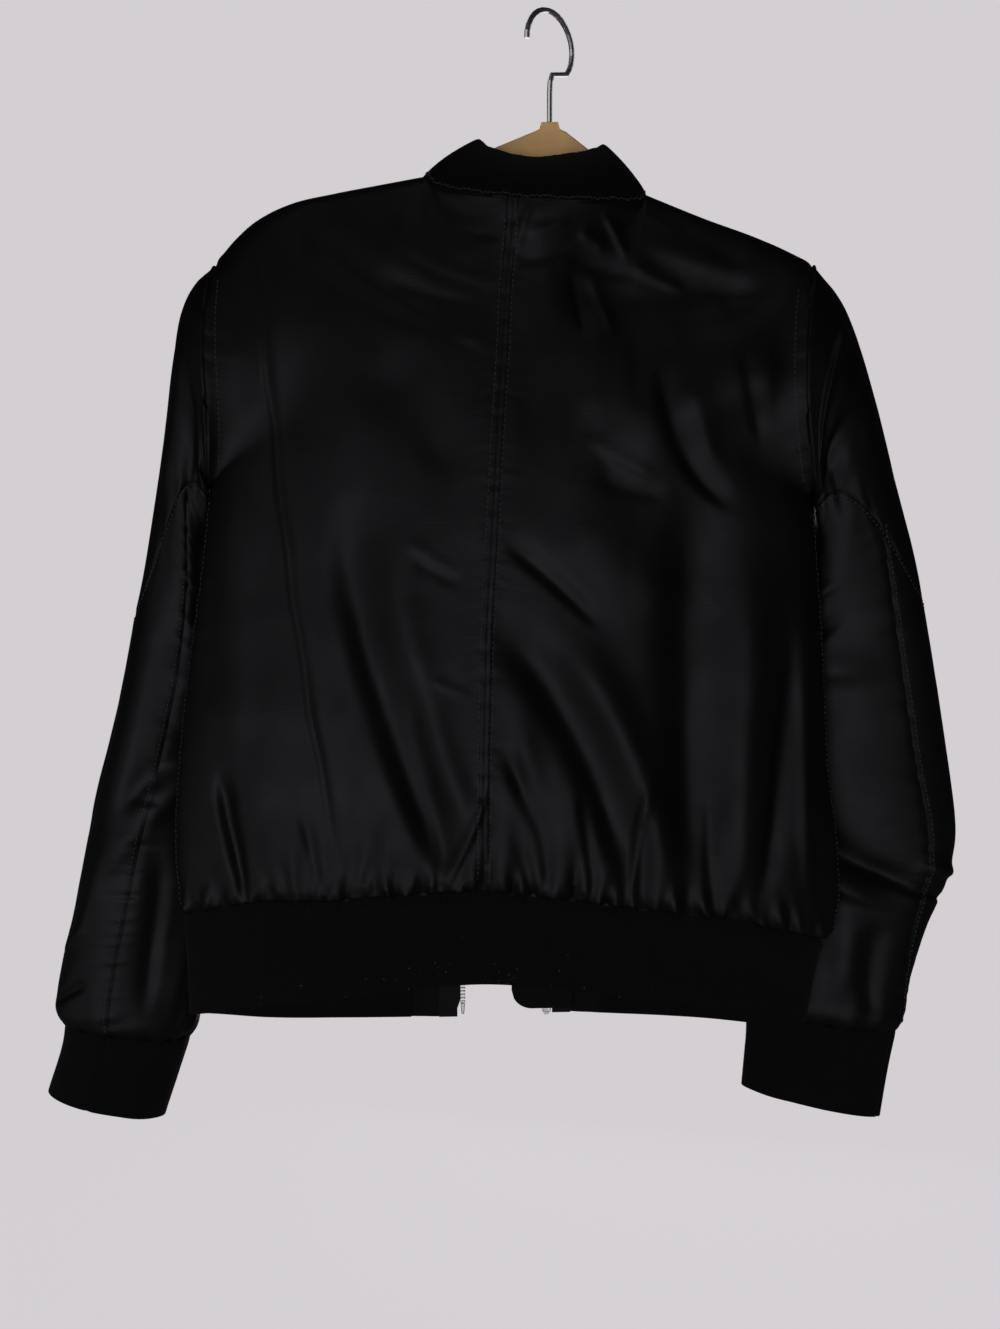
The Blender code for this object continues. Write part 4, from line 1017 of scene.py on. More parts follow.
# %% Fronts
SIDE_SHARE = 0.999995       # a hair short of the side, where the angle turns too fast to follow
EDGE_STITCH = 6.0           # mm from the zip to the topstitching along a front edge


def front_angles(side, steps, shares):
    """Angles of the front's columns, squeezed between the sloping front edge and the side."""
    columns = down(row_value(steps))
    seam_x = columns[..., 1]
    edge = (columns[..., EDGE_COLUMN[side]] - seam_x) / (columns[..., SIDE_COLUMN[side]] - seam_x)
    return angle_of(edge + (1 - edge) * shares)


def front_shares(side, start=0.0, end=1.0, spacing=FRONT_GRID):
    """Shares of the way from the front edge to the side, spaced evenly round the shell."""
    steps = step_of(np.full(SAMPLES, MID_ROW))
    fine = np.linspace(start, min(end, SIDE_SHARE), SAMPLES)
    length = run_length(body(FRONT, side, front_angles(side, steps, fine), steps))
    return np.interp(np.linspace(0, length[-1], int(length[-1] / spacing) + 1), length, fine)


def tab_share(side):
    """Share of the way from the front edge to the side that the satin end of the hem takes."""
    row = DOWN[-1]
    return TAB_WIDTH / abs(row[1 + SIDE_COLUMN[side]] - row[1 + EDGE_COLUMN[side]])


def front_relief(side):
    """Relief of a front: the panel's own, quiet beside the zip."""
    general = body_relief(FRONT, side)

    def relief(angle, step):
        point = body(FRONT, side, angle, step)
        from_edge = np.abs(point[..., 0] - down(row_value(step))[..., EDGE_COLUMN[side]])
        quiet = smooth(np.clip((from_edge - 3) / 34, 0, 1))
        height = general(angle, step) * (0.12 + 0.88 * quiet)
        height += puckers(point[..., 2], from_edge - EDGE_STITCH, 51, 0.3, 5.0)
        height += pinch(from_edge - EDGE_STITCH, 0.25, 1.2)
        return to_seam(height, np.maximum(hem_height(FRONT, point), 0))

    return relief


for side in ("left", "right"):
    skin = skins["front_" + side] = body_skin(FRONT, side, front_relief(side))
    rows = body_steps(FRONT_GRID)
    angles = front_angles(side, rows, front_shares(side)[None, :])
    made["front_" + side] = wall("front_" + side, skin, angles, rows, SATIN_THICK, satin, lining)
print("front panels:", [len(made["front_" + side].data.polygons) for side in ("left", "right")],
      "faces")

# %% [markdown]
# ## Rib bands
#
# A rib band is knitted tubing folded double. Its ribs stand about 2 mm apart, so they are shape
# here, four columns to a rib, and the band dips in where the satin is gathered on to it.

# %% Hem band
RIB_COLUMNS = 4             # columns of points to a rib
BAND_WIDTH = 68.0
RIB_HEIGHT = 0.28           # mm from a rib's valley to its top
HEM_HALF = 230.0            # mm from the middle of the hem to each side, near enough
MID_RIB = 1.06              # row value half way down the band
RIB_SAMPLES = 600


def ribbed(count):
    """Heights of the ribs at each column: rounded tops, narrow valleys."""
    turn = np.arange(count) * 2 * math.pi / RIB_COLUMNS
    return RIB_HEIGHT * (np.abs(np.cos(turn / 2)) - 0.6)


def band_relief(face):
    """A band's own relief: soft waves, fine ripples by the seam and a dip along it."""
    def relief(angle, step):
        on_rib = np.clip((row_value(step) - 1) / (HEM_END - 1), 0, 1)
        x = np.where(angle < 0, -1, 1) * across(np.abs(angle)) * HEM_HALF
        wave = value_noise(x / 34, on_rib * 1.2, 61 if face == BACK else 67)
        ripple = value_noise(x / 11, on_rib * 0.8, 71) * np.exp(-on_rib * 5)
        height = 1.5 * wave * np.sin(on_rib * 2.4 + 0.4) + 0.9 * ripple
        height = to_seam(height, HEM_HALF - np.abs(x), SIDE_REACH)
        return to_seam(height, on_rib * BAND_WIDTH, RIB_REACH)

    return relief


def rib_angles(side, start, end):
    """Angles of the columns of ribs between two angles of the body."""
    fine = np.linspace(start, end, RIB_SAMPLES)
    length = run_length(body(BACK, side, fine, step_of(np.full(RIB_SAMPLES, MID_RIB))))
    count = int(length[-1] / RIB_PITCH * RIB_COLUMNS) + 1
    return np.interp(np.linspace(0, length[-1], count), length, fine)


def hem_surface(angle, step):
    """Middle surface of the back's hem band: one piece over both halves of the back."""
    left = body(BACK, "left", np.abs(angle), step)
    right = body(BACK, "right", np.abs(angle), step)
    return np.where((angle < 0)[..., None], left, right)


halves = [rib_angles(side, 0.0, SIDE_END) for side in ("left", "right")]
hem_angles = np.concatenate([-halves[0][::-1], halves[1][1:]])[None, :]
skins["hem_rib_back"] = Skin(hem_surface, -1, band_relief(BACK))
made["hem_rib_back"] = wall("hem_rib_back", skins["hem_rib_back"], hem_angles, rib_steps(),
                            RIB_THICK, rib, ribs=ribbed(hem_angles.size)[None, :])
print("hem band:", hem_angles.size // RIB_COLUMNS, "ribs")

# %% [markdown]
# At the zip the elastic band ends in a short satin block, which keeps the fastening flat. Each
# front band runs from that block to the side seam.

# %% Front bands and their satin ends
TAB_GAP = 2e-5              # share left free between a satin end and its band
TAB_GRID = 2.0              # mm between columns of a satin end


def tab_relief(angle, step):
    on_rib = np.clip((row_value(step) - 1) / (HEM_END - 1), 0, 1)
    height = 0.9 * value_noise(angle / 5, step * 26, 81) + 0.4 * value_noise(angle / 2, step * 60, 83)
    return to_seam(height, on_rib * BAND_WIDTH, RIB_REACH)


for side in ("left", "right"):
    end = tab_share(side)
    steps = rib_steps()
    tab = front_shares(side, 0.0, end - TAB_GAP, TAB_GRID)
    angles = front_angles(side, steps, tab[None, :])
    skin = skins["hem_tab_" + side] = body_skin(FRONT, side, tab_relief)
    made["hem_tab_" + side] = wall("hem_tab_" + side, skin, angles, steps, SATIN_THICK, satin,
                                   lining)
    band = front_shares(side, end, 1.0, RIB_PITCH / RIB_COLUMNS)
    angles = front_angles(side, steps, band[None, :])
    name = "hem_rib_front_" + side
    made[name] = wall(name, body_skin(FRONT, side, band_relief(FRONT)), angles, steps, RIB_THICK,
                      rib, ribs=ribbed(band.size)[None, :])
print("front bands made with their satin ends")

# %% [markdown]
# ## Collar
#
# The collar is a doubled rib band that stands from the neck seam and lies on the hanger's hump.
# Its upper edge dips at the centre back, where the band is not held up.

# %% Collar
COLLAR_SWELL = 3.0          # how far the band bellies out between its seam and its top
COLLAR_TURN = -1            # its parameters run the other way round, so its normals turn
COLLAR_SAMPLES = 1200


def collar_surface(angle, rise):
    """Middle surface of the collar: angle round the neck, rise 0 at its seam and 1 at its top."""
    columns = neck(angle)
    turn = np.radians(angle)
    seam = np.stack([NECK_CENTRE_X + NECK_HALF_WIDTH * np.cos(turn), -NECK_DEPTH * np.sin(turn),
                     columns[..., 0]], axis=-1)
    rise = np.asarray(rise, dtype=float)[..., None]
    swell = COLLAR_SWELL * 4 * rise * (1 - rise)
    outward = np.stack([np.cos(turn), -np.sin(turn), 0 * turn], axis=-1)
    return seam + (columns[..., 1:4] - seam) * rise + outward * swell


def collar_relief(angle, rise):
    """Soft unevenness, and a pull towards the seam's stitches."""
    wave = value_noise(angle / 21, rise * 1.5, 91)
    rise = np.maximum(rise, 0)
    return 0.7 * wave * rise + 0.35 * value_noise(angle / 5, rise * 2, 93) - 0.8 * np.exp(-rise * 12)


fine = np.linspace(-FRONT_END_ANGLE, 180 + FRONT_END_ANGLE, COLLAR_SAMPLES)
length = run_length(collar_surface(fine, np.full(COLLAR_SAMPLES, 0.4)))
count = int(length[-1] / RIB_PITCH * RIB_COLUMNS)
collar_angles = np.interp(np.linspace(0, length[-1], count), length, fine)[None, :]
rises = np.concatenate([[-0.05, 0.0], np.linspace(0.04, 0.93, 14), [0.97, 0.99, 1.0]])[:, None]
rounded = np.sqrt(np.clip((1.004 - rises) / 0.05, 0, 1)) * RIB_THICK / 2 - RIB_THICK / 2
skins["collar"] = Skin(collar_surface, COLLAR_TURN, collar_relief)
# the collar wears the darker copy of the rib, whose colour is painted shade
made["collar"] = wall("collar", skins["collar"], collar_angles, rises, RIB_THICK + 0.4, collar_rib_painted_shade,
                      ribs=ribbed(count)[None, :] + rounded)
print("collar:", count // RIB_COLUMNS, "ribs over", round(length[-1]), "mm")

# %% [markdown]
# ## Sleeves
#
# Each sleeve is a shoulder cap, and below a slanting seam a top and an under panel joined down
# the elbow. The sleeve hangs a little twisted, so its folds run round it on a slant. They are
# laid in the sleeve's own terms: distance down it and distance round it.

# %% Folds on the sleeves
RING_LENGTH = 56.0          # mm down the sleeve from one ring to the next
TURN_LENGTH = 0.82          # mm round the sleeve to a degree
SLEEVE_FOLDS = {
    "right": [
        # from_a from_r  to_a   to_r   bow  half  height lean
        (150, 0.4, 120, 2.2, 4, 9, 3.0, 0.6),        # lit ridge beside the armhole
        (112, 0.5, 86, 2.6, 5, 12, -3.4, 0.4),
        (60, 0.8, 52, 2.4, 3, 14, 2.0, 0.3),
        (168, 2.4, 96, 3.4, 5, 7, 3.0, 1.2),         # drags from the underarm
        (172, 3.2, 92, 4.0, 6, 9, -3.6, 0.8),
        (160, 3.6, 70, 4.9, 8, 12, 3.2, 0.4),
        (176, 5.6, 36, 8.3, 14, 13, -6.5, 0.8),      # dark elbow fold
        (160, 6.6, 60, 8.6, 10, 12, 4.2, 0.5),
        (58, 8.2, -4, 8.5, -2, 5, -3.4, 1.0),        # crease under the elbow's point
        (52, 7.6, -2, 7.9, 3, 9, 3.6, 0.4),
        (104, 7.2, 84, 10.6, -6, 12, 4.2, 0.3),      # lit ridge down to the wrist
        (136, 7.6, 120, 10.8, 4, 12, -3.6, 0.4),
        (66, 8.8, 60, 10.8, 3, 8, -3.0, 0.6),
        (128, 9.8, 108, 10.9, 3, 4, 2.4, 1.0),
        (146, 10.0, 132, 10.9, 2, 4, 2.0, 1.0),
        (36, 1.0, 128, 0.42, 2, 6, 3.6, 0.8),        # lit fold beside the armhole
        (40, 1.9, 126, 1.05, 3, 10, -3.8, 0.4),
        (-150, 2.6, -70, 4.2, 8, 11, -3.4, 0.6),
        (-160, 3.6, -60, 5.6, 8, 13, 3.2, 0.4),
        (-170, 6.2, -50, 8.2, -9, 12, -4.6, 0.7),
        (-110, 7.4, -90, 10.6, 5, 12, 3.4, 0.3),
        (-50, 5.0, -40, 10.0, 6, 13, -2.6, 0.3),
    ],
    "left": [
        # from_a from_r  to_a   to_r   bow  half  height lean
        (140, 0.5, 116, 2.4, 4, 10, 3.0, 0.6),
        (100, 0.6, 84, 3.0, 5, 12, -3.0, 0.4),
        (58, 1.0, 48, 3.8, 3, 15, 2.4, 0.3),
        (168, 2.6, 90, 4.4, 6, 9, -3.4, 0.8),
        (166, 3.6, 78, 5.6, 7, 12, 3.0, 0.5),
        (150, 5.4, 60, 7.4, -8, 13, -3.6, 0.6),
        (120, 6.2, 62, 8.4, -6, 12, 3.2, 0.4),
        (52, 4.8, 40, 9.6, 8, 12, 2.8, 0.3),
        (24, 5.6, 18, 10.2, -5, 9, -2.4, 0.5),
        (96, 7.6, 108, 10.6, 5, 8, -3.4, 0.8),
        (132, 7.0, 136, 10.8, 5, 11, 2.8, 0.4),
        (60, 10.1, 14, 10.6, 2, 5, -3.0, 1.0),
        (50, 9.2, 8, 9.8, 2, 8, 2.4, 0.5),
        (150, 10.2, 142, 10.95, 2, 4, 2.4, 1.0),
        (166, 10.1, 160, 10.95, 2, 4, 2.2, 1.0),
        (158, 1.8, 164, 8.6, 0, 11, -4.2, 0.2),      # shaded hollow beside the body
        (-150, 2.6, -70, 4.4, 8, 11, -3.4, 0.6),
        (-160, 4.0, -60, 6.0, 8, 13, 3.0, 0.4),
        (-165, 6.4, -60, 8.4, -9, 12, -4.2, 0.7),
        (-110, 7.4, -95, 10.6, 5, 12, 3.0, 0.3),
    ],
}


def sleeve_relief(side):
    """Relief of a sleeve, as a function of ring and angle."""
    rows = [(fa * TURN_LENGTH, fr * RING_LENGTH, ta * TURN_LENGTH, tr * RING_LENGTH, b, h, z, n)
            for fa, fr, ta, tr, b, h, z, n in SLEEVE_FOLDS[side]]
    seed = 101 if side == "left" else 131

    def relief(ring, angle):
        angle = np.where(angle > 180, angle - 360, angle)
        down_it = ring * RING_LENGTH
        round_it = angle * TURN_LENGTH
        height = folds(round_it, down_it, rows) + crumple(round_it, down_it, seed, 1.0)
        above = np.maximum(CUFF_SEAM - ring, 0) * RING_LENGTH
        height *= np.clip(above / 22, 0.1, 1) * np.clip((ring - 0.02) / 0.5, 0.1, 1)
        height += gathers(round_it, above, 9.0, 28.0, 2.1, 3.0, seed + 1, -160, 160)
        height += gathers(round_it, above, 26.0, 70.0, 2.4, 5.5, seed + 2, -160, 160)
        height += 2.4 * np.exp(-((above - 13) / 11) ** 2) - 1.6 * np.exp(-(above / 3.5) ** 2)
        from_cap = (ring - cap_seam[side](np.abs(angle))[..., 0]) * RING_LENGTH * 0.8
        from_elbow = round_it - elbow_seam[side](ring)[..., 0] * TURN_LENGTH
        height += puckers(round_it, from_cap, seed + 3, 0.7, 8.0) + pinch(from_cap, 0.7, 1.8)
        below = np.clip(from_cap / 8, 0, 1)
        height += below * (puckers(down_it, from_elbow, seed + 4, 0.8, 9.0) + pinch(from_elbow, 0.8))
        from_armhole = ring * RING_LENGTH
        height += puckers(round_it, from_armhole, seed + 5, 0.5, 9.0) - 0.8 * np.exp(-from_armhole / 3)
        return height

    return relief


print("folds laid on the sleeves:", {side: len(rows) for side, rows in SLEEVE_FOLDS.items()})

# %% [markdown]
# The cap is a tube of cloth. The two panels below it start at the slanting seam, whose place
# depends on the angle round the sleeve, while a column's angle depends on the elbow seam at its
# height. Each is worked out from the other in a few rounds, which soon stop changing.

# %% Sleeve panels
ROUNDS = 8
CAP_GAP = 0.002             # rings left free on each side of the cap seam
ARMHOLE_START = 0.004       # ring at which the sleeve starts
ELBOW_GAP = 0.06            # degrees left free on each side of the elbow seam
INNER_FOLD = 179.95         # degrees round to the sleeve's inner fold, where its panels meet


def ring_columns(start, end):
    """Angles a grid's width apart between two of them."""
    return np.linspace(start, end, int(abs(end - start) * TURN_LENGTH / GRID) + 1)


def lower_grid(side, start, end, rows=150):
    """Rings and angles of a panel below the cap seam, between two curves of angle."""
    columns = np.linspace(0, 1, len(ring_columns(float(start(6.0)), float(end(6.0)))))[None, :]
    shares = np.linspace(0, 1, rows)[:, None]
    ring = 4 + (CUFF_SEAM - 4) * shares + 0 * columns
    for _ in range(ROUNDS):
        angle = start(ring) + (end(ring) - start(ring)) * columns
        top = cap_seam[side](np.abs(angle))[..., 0] + CAP_GAP
        ring = top + (CUFF_SEAM - CAP_GAP - top) * shares
    return ring, angle


for side in ("left", "right"):
    skin = skins["sleeve_" + side] = sleeve_skin(side, sleeve_relief(side))
    angles = ring_columns(0, 360)[None, :-1]
    folded = np.where(angles > 180, 360 - angles, angles)
    low = cap_seam[side](folded)[..., 0] - CAP_GAP
    ring = ARMHOLE_START + (low - ARMHOLE_START) * np.linspace(0, 1, 80)[:, None]
    name = f"sleeve_{side}_head"
    made[name] = wall(name, skin, ring, angles + 0 * ring, SATIN_THICK, satin, lining, tube=True)

    def seam(ring_number, side=side):
        return elbow_seam[side](ring_number)[..., 0]

    panels = {
        "under": (lambda r: seam(r) + ELBOW_GAP, lambda r: INNER_FOLD + 0 * np.asarray(r)),
        "top": (lambda r: -INNER_FOLD + 0 * np.asarray(r), lambda r: seam(r) - ELBOW_GAP),
    }
    for panel, limits in panels.items():
        ring, angle = lower_grid(side, *limits)
        name = f"sleeve_{side}_{panel}"
        made[name] = wall(name, skin, ring, angle, SATIN_THICK, satin, lining)
print("sleeves:", sum(len(made[n].data.polygons) for n in made if n.startswith("sleeve")), "faces")

# %% [markdown]
# ## Cuffs
#
# The cuffs are the same doubled rib as the hem, closed by one seam at the back of the wrist.

# %% Cuffs
CUFF_SEAM_ANGLE = {"left": 78.0, "right": 20.0}
MID_CUFF = 11.5             # ring half way down the cuff
for side in ("left", "right"):
    fine = np.linspace(0, 360, 721)
    length = run_length(sleeve(side, np.full(721, MID_CUFF), fine))
    count = int(length[-1] / RIB_PITCH) * RIB_COLUMNS
    angles = np.interp(np.linspace(0, length[-1], count + 1)[:-1], length, fine)[None, :]
    ring = np.concatenate([np.linspace(CUFF_SEAM - 0.01, 11.94, 16), [11.98, CUFF_END]])[:, None]

    def cuff_relief(ring_number, angle, side=side):
        on_cuff = np.maximum(ring_number - CUFF_SEAM, 0)
        turned = np.where(angle > 180, angle - 360, angle)
        wave = value_noise(turned / 26, on_cuff * 1.6, 151)
        from_seam = (turned - CUFF_SEAM_ANGLE[side]) * 0.5
        return 0.9 * wave - 1.0 * np.exp(-on_cuff * 18) + pinch(from_seam, 0.9, 1.3)

    made["cuff_" + side] = wall("cuff_" + side, sleeve_skin(side, cuff_relief), ring + 0 * angles,
                                angles + 0 * ring, RIB_THICK, rib,
                                ribs=ribbed(count)[None, :], tube=True)
print("cuffs:", count // RIB_COLUMNS, "ribs round the right one")

# %% [markdown]
# ## The zip
#
# A metal zip is two woven tapes with a row of teeth clamped to the edge of each. The jacket
# hangs open, so each half lies along its own front edge. The tapes and the wind flap behind the
# right half are walls beside that edge. The teeth repeat every 2.7 mm, so Geometry Nodes set
# one small tooth on each point of a path.

# %% Beside the front edges
TAPE_THICK = 1.0
LAYER_GAP = 0.8             # mm of air between layers
TAPE_UNDER, TAPE_OUT = 14.0, 2.7    # mm of tape under the front and past its edge
SLIDER_DEPTH = 4.6
FLAP_OUT, FLAP_UNDER, FLAP_CORNER = 32.0, 15.0, 16.0
FLAP_LENGTH, FLAP_SHORT = 545.0, 5.0    # mm down the flap, and how far it ends above the hem
TAPE_LIFT = -(SATIN_THICK / 2 + LAYER_GAP + TAPE_THICK / 2)
FLAP_LIFT = TAPE_LIFT - SLIDER_DEPTH / 2 - LAYER_GAP - SATIN_THICK / 2
BOTTOM_STEP = float(step_of(HEM_END))
CHAIN_END = {"left": BOTTOM_STEP - 0.022, "right": BOTTOM_STEP - 0.046}


def beside_edge(side, lift):
    """A surface beside a front edge: distance out past the edge, step down, held at a lift."""
    edge_skin = body_skin(FRONT, side)

    def surface(distance, step):
        step = np.asarray(step, dtype=float)
        angle = front_angles(side, step, 0.0)
        point = edge_skin.surface(angle, step)
        outward = point - edge_skin.surface(angle + 0.5, step)
        outward = outward / np.linalg.norm(outward, axis=-1, keepdims=True)
        face = edge_skin.outward(angle, step)
        return point + outward * np.asarray(distance)[..., None] + face * lift

    return surface


tape_steps = np.linspace(0.03, BOTTOM_STEP, 160)[:, None]
for side in ("left", "right"):
    reach = np.where(tape_steps > CHAIN_END[side] + 0.001, 0.3, TAPE_OUT)
    distance = -TAPE_UNDER + (reach + TAPE_UNDER) * np.linspace(0, 1, 8)[None, :]
    skin = Skin(beside_edge(side, TAPE_LIFT), 1 if side == "left" else -1)
    made["zip_tape_" + side] = wall("zip_tape_" + side, skin, distance, tape_steps, TAPE_THICK,
                                    tape)

distance = np.linspace(-FLAP_UNDER, FLAP_OUT, 26)[None, :]
past = np.clip((distance - (FLAP_OUT - FLAP_CORNER)) / FLAP_CORNER, 0, 1)
rise = (FLAP_CORNER * (1 - np.sqrt(1 - past ** 2)) + FLAP_SHORT) / FLAP_LENGTH
share = (tape_steps - tape_steps[0]) / (BOTTOM_STEP - tape_steps[0])
skins["wind_flap"] = Skin(beside_edge("right", FLAP_LIFT), -1,
                          lambda d, s: 0.5 * crumple(d, s * 270, 161))
made["wind_flap"] = wall("wind_flap", skins["wind_flap"], distance + 0 * tape_steps,
                         tape_steps - rise * share ** 8, SATIN_THICK, satin, lining)
print("zip tapes and wind flap made")

# %% [markdown]
# One tree of Geometry Nodes sets a small shape on every point of a mesh. It serves the teeth,
# the stitches and the lint. A named attribute gives each point the way its shape runs, and
# another the way it faces. The instances are realized, so that the result is a plain mesh.

# %% A tree that sets one small shape on every point
def setting_tree(name, shape, material):
    """Geometry Nodes: a shape on each point, turned by its run and face, or a small ball."""
    tree = bpy.data.node_groups.new(name, "GeometryNodeTree")
    face = tree.interface
    face.new_socket("Geometry", in_out="INPUT", socket_type="NodeSocketGeometry")
    for label in ("Length", "Width", "Height"):
        face.new_socket(label, in_out="INPUT", socket_type="NodeSocketFloat")
    face.new_socket("Geometry", in_out="OUTPUT", socket_type="NodeSocketGeometry")
    given = node(tree, "NodeGroupInput")
    run = node(tree, "GeometryNodeInputNamedAttribute", {"Name": "run"}, data_type="FLOAT_VECTOR")
    out = node(tree, "GeometryNodeInputNamedAttribute", {"Name": "face"}, data_type="FLOAT_VECTOR")
    first = node(tree, "FunctionNodeAlignRotationToVector", {"Vector": run.outputs[0]}, axis="X")
    second = node(tree, "FunctionNodeAlignRotationToVector",
                  {"Rotation": first.outputs[0], "Vector": out.outputs[0]}, axis="Z",
                  pivot_axis="X")
    size = node(tree, "ShaderNodeCombineXYZ", {"X": given.outputs["Length"],
                                               "Y": given.outputs["Width"],
                                               "Z": given.outputs["Height"]})
    if shape is None:
        ball = node(tree, "GeometryNodeMeshUVSphere", {"Segments": 6, "Rings": 4, "Radius": 0.5})
        source = ball.outputs["Mesh"]
    else:
        source = node(tree, "GeometryNodeObjectInfo", {"Object": shape}).outputs["Geometry"]
    placed = node(tree, "GeometryNodeInstanceOnPoints",
                  {"Points": given.outputs["Geometry"], "Instance": source,
                   "Rotation": second.outputs[0], "Scale": size.outputs[0]})
    real = node(tree, "GeometryNodeRealizeInstances", {"Geometry": placed.outputs[0]})
    painted = node(tree, "GeometryNodeSetMaterial", {"Geometry": real.outputs[0],
                                                     "Material": material})
    end = node(tree, "NodeGroupOutput")
    tree.links.new(painted.outputs[0], end.inputs[0])
    return tree


def set_on_points(name, points, runs, faces, shape, material, length, width, height):
    """Points with a run and a face each, turned into one plain mesh of small shapes."""
    tree = setting_tree(name + "_tree", shape, material)
    mesh = bpy.data.meshes.new(name)
    mesh.from_pydata(np.asarray(points) * MM, [], [])
    for label, values in (("run", runs), ("face", faces)):
        layer = mesh.attributes.new(label, "FLOAT_VECTOR", "POINT")
        layer.data.foreach_set("vector", np.asarray(values, dtype=np.float32).ravel())
    thing = bpy.data.objects.new(name, mesh)
    bpy.context.collection.objects.link(thing)
    modifier = thing.modifiers.new("set", "NODES")
    modifier.node_group = tree
    sizes = {"Length": length * MM, "Width": width * MM, "Height": height * MM}
    for item in tree.interface.items_tree:
        if item.item_type == "SOCKET" and item.name in sizes:
            modifier[item.identifier] = sizes[item.name]
    bpy.context.view_layer.update()
    whole = thing.evaluated_get(bpy.context.evaluated_depsgraph_get())
    plain = bpy.data.meshes.new_from_object(whole)
    thing.modifiers.clear()
    thing.data = plain
    if not plain.materials:
        plain.materials.append(material)
    plain.shade_smooth()
    plain.set_sharp_from_angle(angle=math.radians(40))
    return thing


# %% [markdown]
# ## Teeth
#
# A tooth is a small clamp with legs round the tape's cord and a rounded head that meshes with
# its neighbours. It is drawn once, with a few faces, in units of its own size.

# %% Zip teeth
TOOTH_PITCH = 2.7           # mm from one tooth to the next
TOOTH_LONG, TOOTH_WIDE, TOOTH_DEEP = 3.9, 1.45, 2.5
TOOTH_OUT = 4.6             # mm from the front edge out to a tooth's middle


def tooth_shape():
    """One tooth along +X: wide legs, a narrower neck and a rounded head, one unit each way."""
    outline = [(-0.5, 0.42), (0.02, 0.5), (0.12, 0.34), (0.24, 0.34), (0.36, 0.46), (0.46, 0.36),
               (0.5, 0.14)]
    outline = outline + [(x, -y) for x, y in reversed(outline)]
    points = []
    for z, inset in ((-0.5, 0.82), (-0.36, 1.0), (0.36, 1.0), (0.5, 0.82)):
        points += [(x * inset, y * inset, z) for x, y in outline]
    count = len(outline)
    faces = [tuple(range(count)), tuple(reversed(range(3 * count, 4 * count)))]
    for layer in range(3):
        for k in range(count):
            nxt = (k + 1) % count
            a, b = layer * count + k, layer * count + nxt
            faces.append((b, a, a + count, b + count))
    mesh = bpy.data.meshes.new("tooth")
    mesh.from_pydata(points, [], faces)
    return bpy.data.objects.new("tooth", mesh)


def path_frames(surface, distance, steps, pitch):
    """Points a pitch apart down a surface, with the ways across it and on along it."""
    fine = np.linspace(steps[0], steps[1], 3000)
    length = run_length(surface(np.full(3000, distance), fine))
    at = np.interp(np.arange(0, length[-1], pitch), length, fine)
    points = surface(np.full(at.size, distance), at)
    over = surface(np.full(at.size, distance + 0.5), at) - points
    ahead = surface(np.full(at.size, distance), at + 1e-3) - points
    return points, over, ahead


tooth = tooth_shape()
for side in ("left", "right"):
    lane = beside_edge(side, TAPE_LIFT)
    points, over, ahead = path_frames(lane, TOOTH_OUT, (0.05, CHAIN_END[side]), TOOTH_PITCH)
    faces = np.cross(over, ahead)
    faces *= np.sign(faces[:, 1:2])
    made["zip_chain_" + side] = set_on_points("zip_chain_" + side, points, over, faces, tooth,
                                              nickel, TOOTH_LONG, TOOTH_WIDE, TOOTH_DEEP)
    print("zip", side, "half:", len(points), "teeth")
bpy.data.objects.remove(tooth)

# %% [markdown]
# ## Stitches
#
# Topstitching holds the seams flat: two rows down the centre back, one inside each armhole and
# side seam, one above each slanting sleeve seam, one beside each elbow seam, one along each
# front edge and round the satin ends, and a coverstitch below the collar. Every stitch is about
# 3 mm of thread that sinks at both ends, one every 4 mm, which is a little coarser than real, so
# that they show. They are set along lines that lie on the cloth with its folds, so they follow
# every pucker.

# %% Sewing
STITCH_PITCH = 4.0
STITCH_LONG, STITCH_WIDE, STITCH_HIGH = 2.9, 0.8, 0.6
STITCH_LIFT = SATIN_THICK / 2 + 0.12    # from the middle of the satin to the middle of a stitch
LOOK_AHEAD = 0.8            # mm over which a stitch's direction is read
ARMHOLE_STITCH, SIDE_STITCH = 8.0, 3.0  # mm from those seams
CAP_STITCH, ELBOW_STITCH = 2.6, 3.2     # mm from those seams
EDGE_ROWS_APART = 6.0
FLAP_STITCH = 5.0           # mm in from the wind flap's edge


class Stitches:
    """Collects the stitches of one row of sewing after another: points, runs and faces."""

    def __init__(self):
        self.points, self.runs, self.faces = [], [], []

    def sew(self, skin, first, second, lift=STITCH_LIFT, pitch=STITCH_PITCH, zigzag=0.0):
        """Sew along a line of parameters on the outside of the cloth."""
        first, second = np.broadcast_arrays(np.asarray(first, float), np.asarray(second, float))
        line, out = skin.place(first, second, lift)
        length = run_length(line)
        at = np.arange(pitch / 2, length[-1] - pitch / 2, pitch)

        def read(places, values):
            return np.stack([np.interp(places, length, values[:, k]) for k in range(3)], axis=-1)

        here, face = read(at, line), read(at, out)
        run = (read(at + LOOK_AHEAD, line) - here) / LOOK_AHEAD
        if zigzag:
            aside = np.cross(face, run)
            run = run + aside * (zigzag * np.where(np.arange(len(at)) % 2, 1, -1))[:, None]
        self.points.append(here)
        self.runs.append(run)
        self.faces.append(face)

    def make(self, name, material, long=STITCH_LONG, wide=STITCH_WIDE, high=STITCH_HIGH):
        points = np.concatenate(self.points)
        print(name + ":", len(points), "stitches")
        return set_on_points(name, points, np.concatenate(self.runs),
                             np.concatenate(self.faces), None, material, long, wide, high)


def seam_line(side, row, offset, from_side=False):
    """Angles of a line at a distance in from the centre seam, or in from the side."""
    columns = down(row)
    width = np.abs(columns[..., SIDE_COLUMN[side]] - columns[..., 1])
    return angle_of(1 - offset / width if from_side else offset / width)


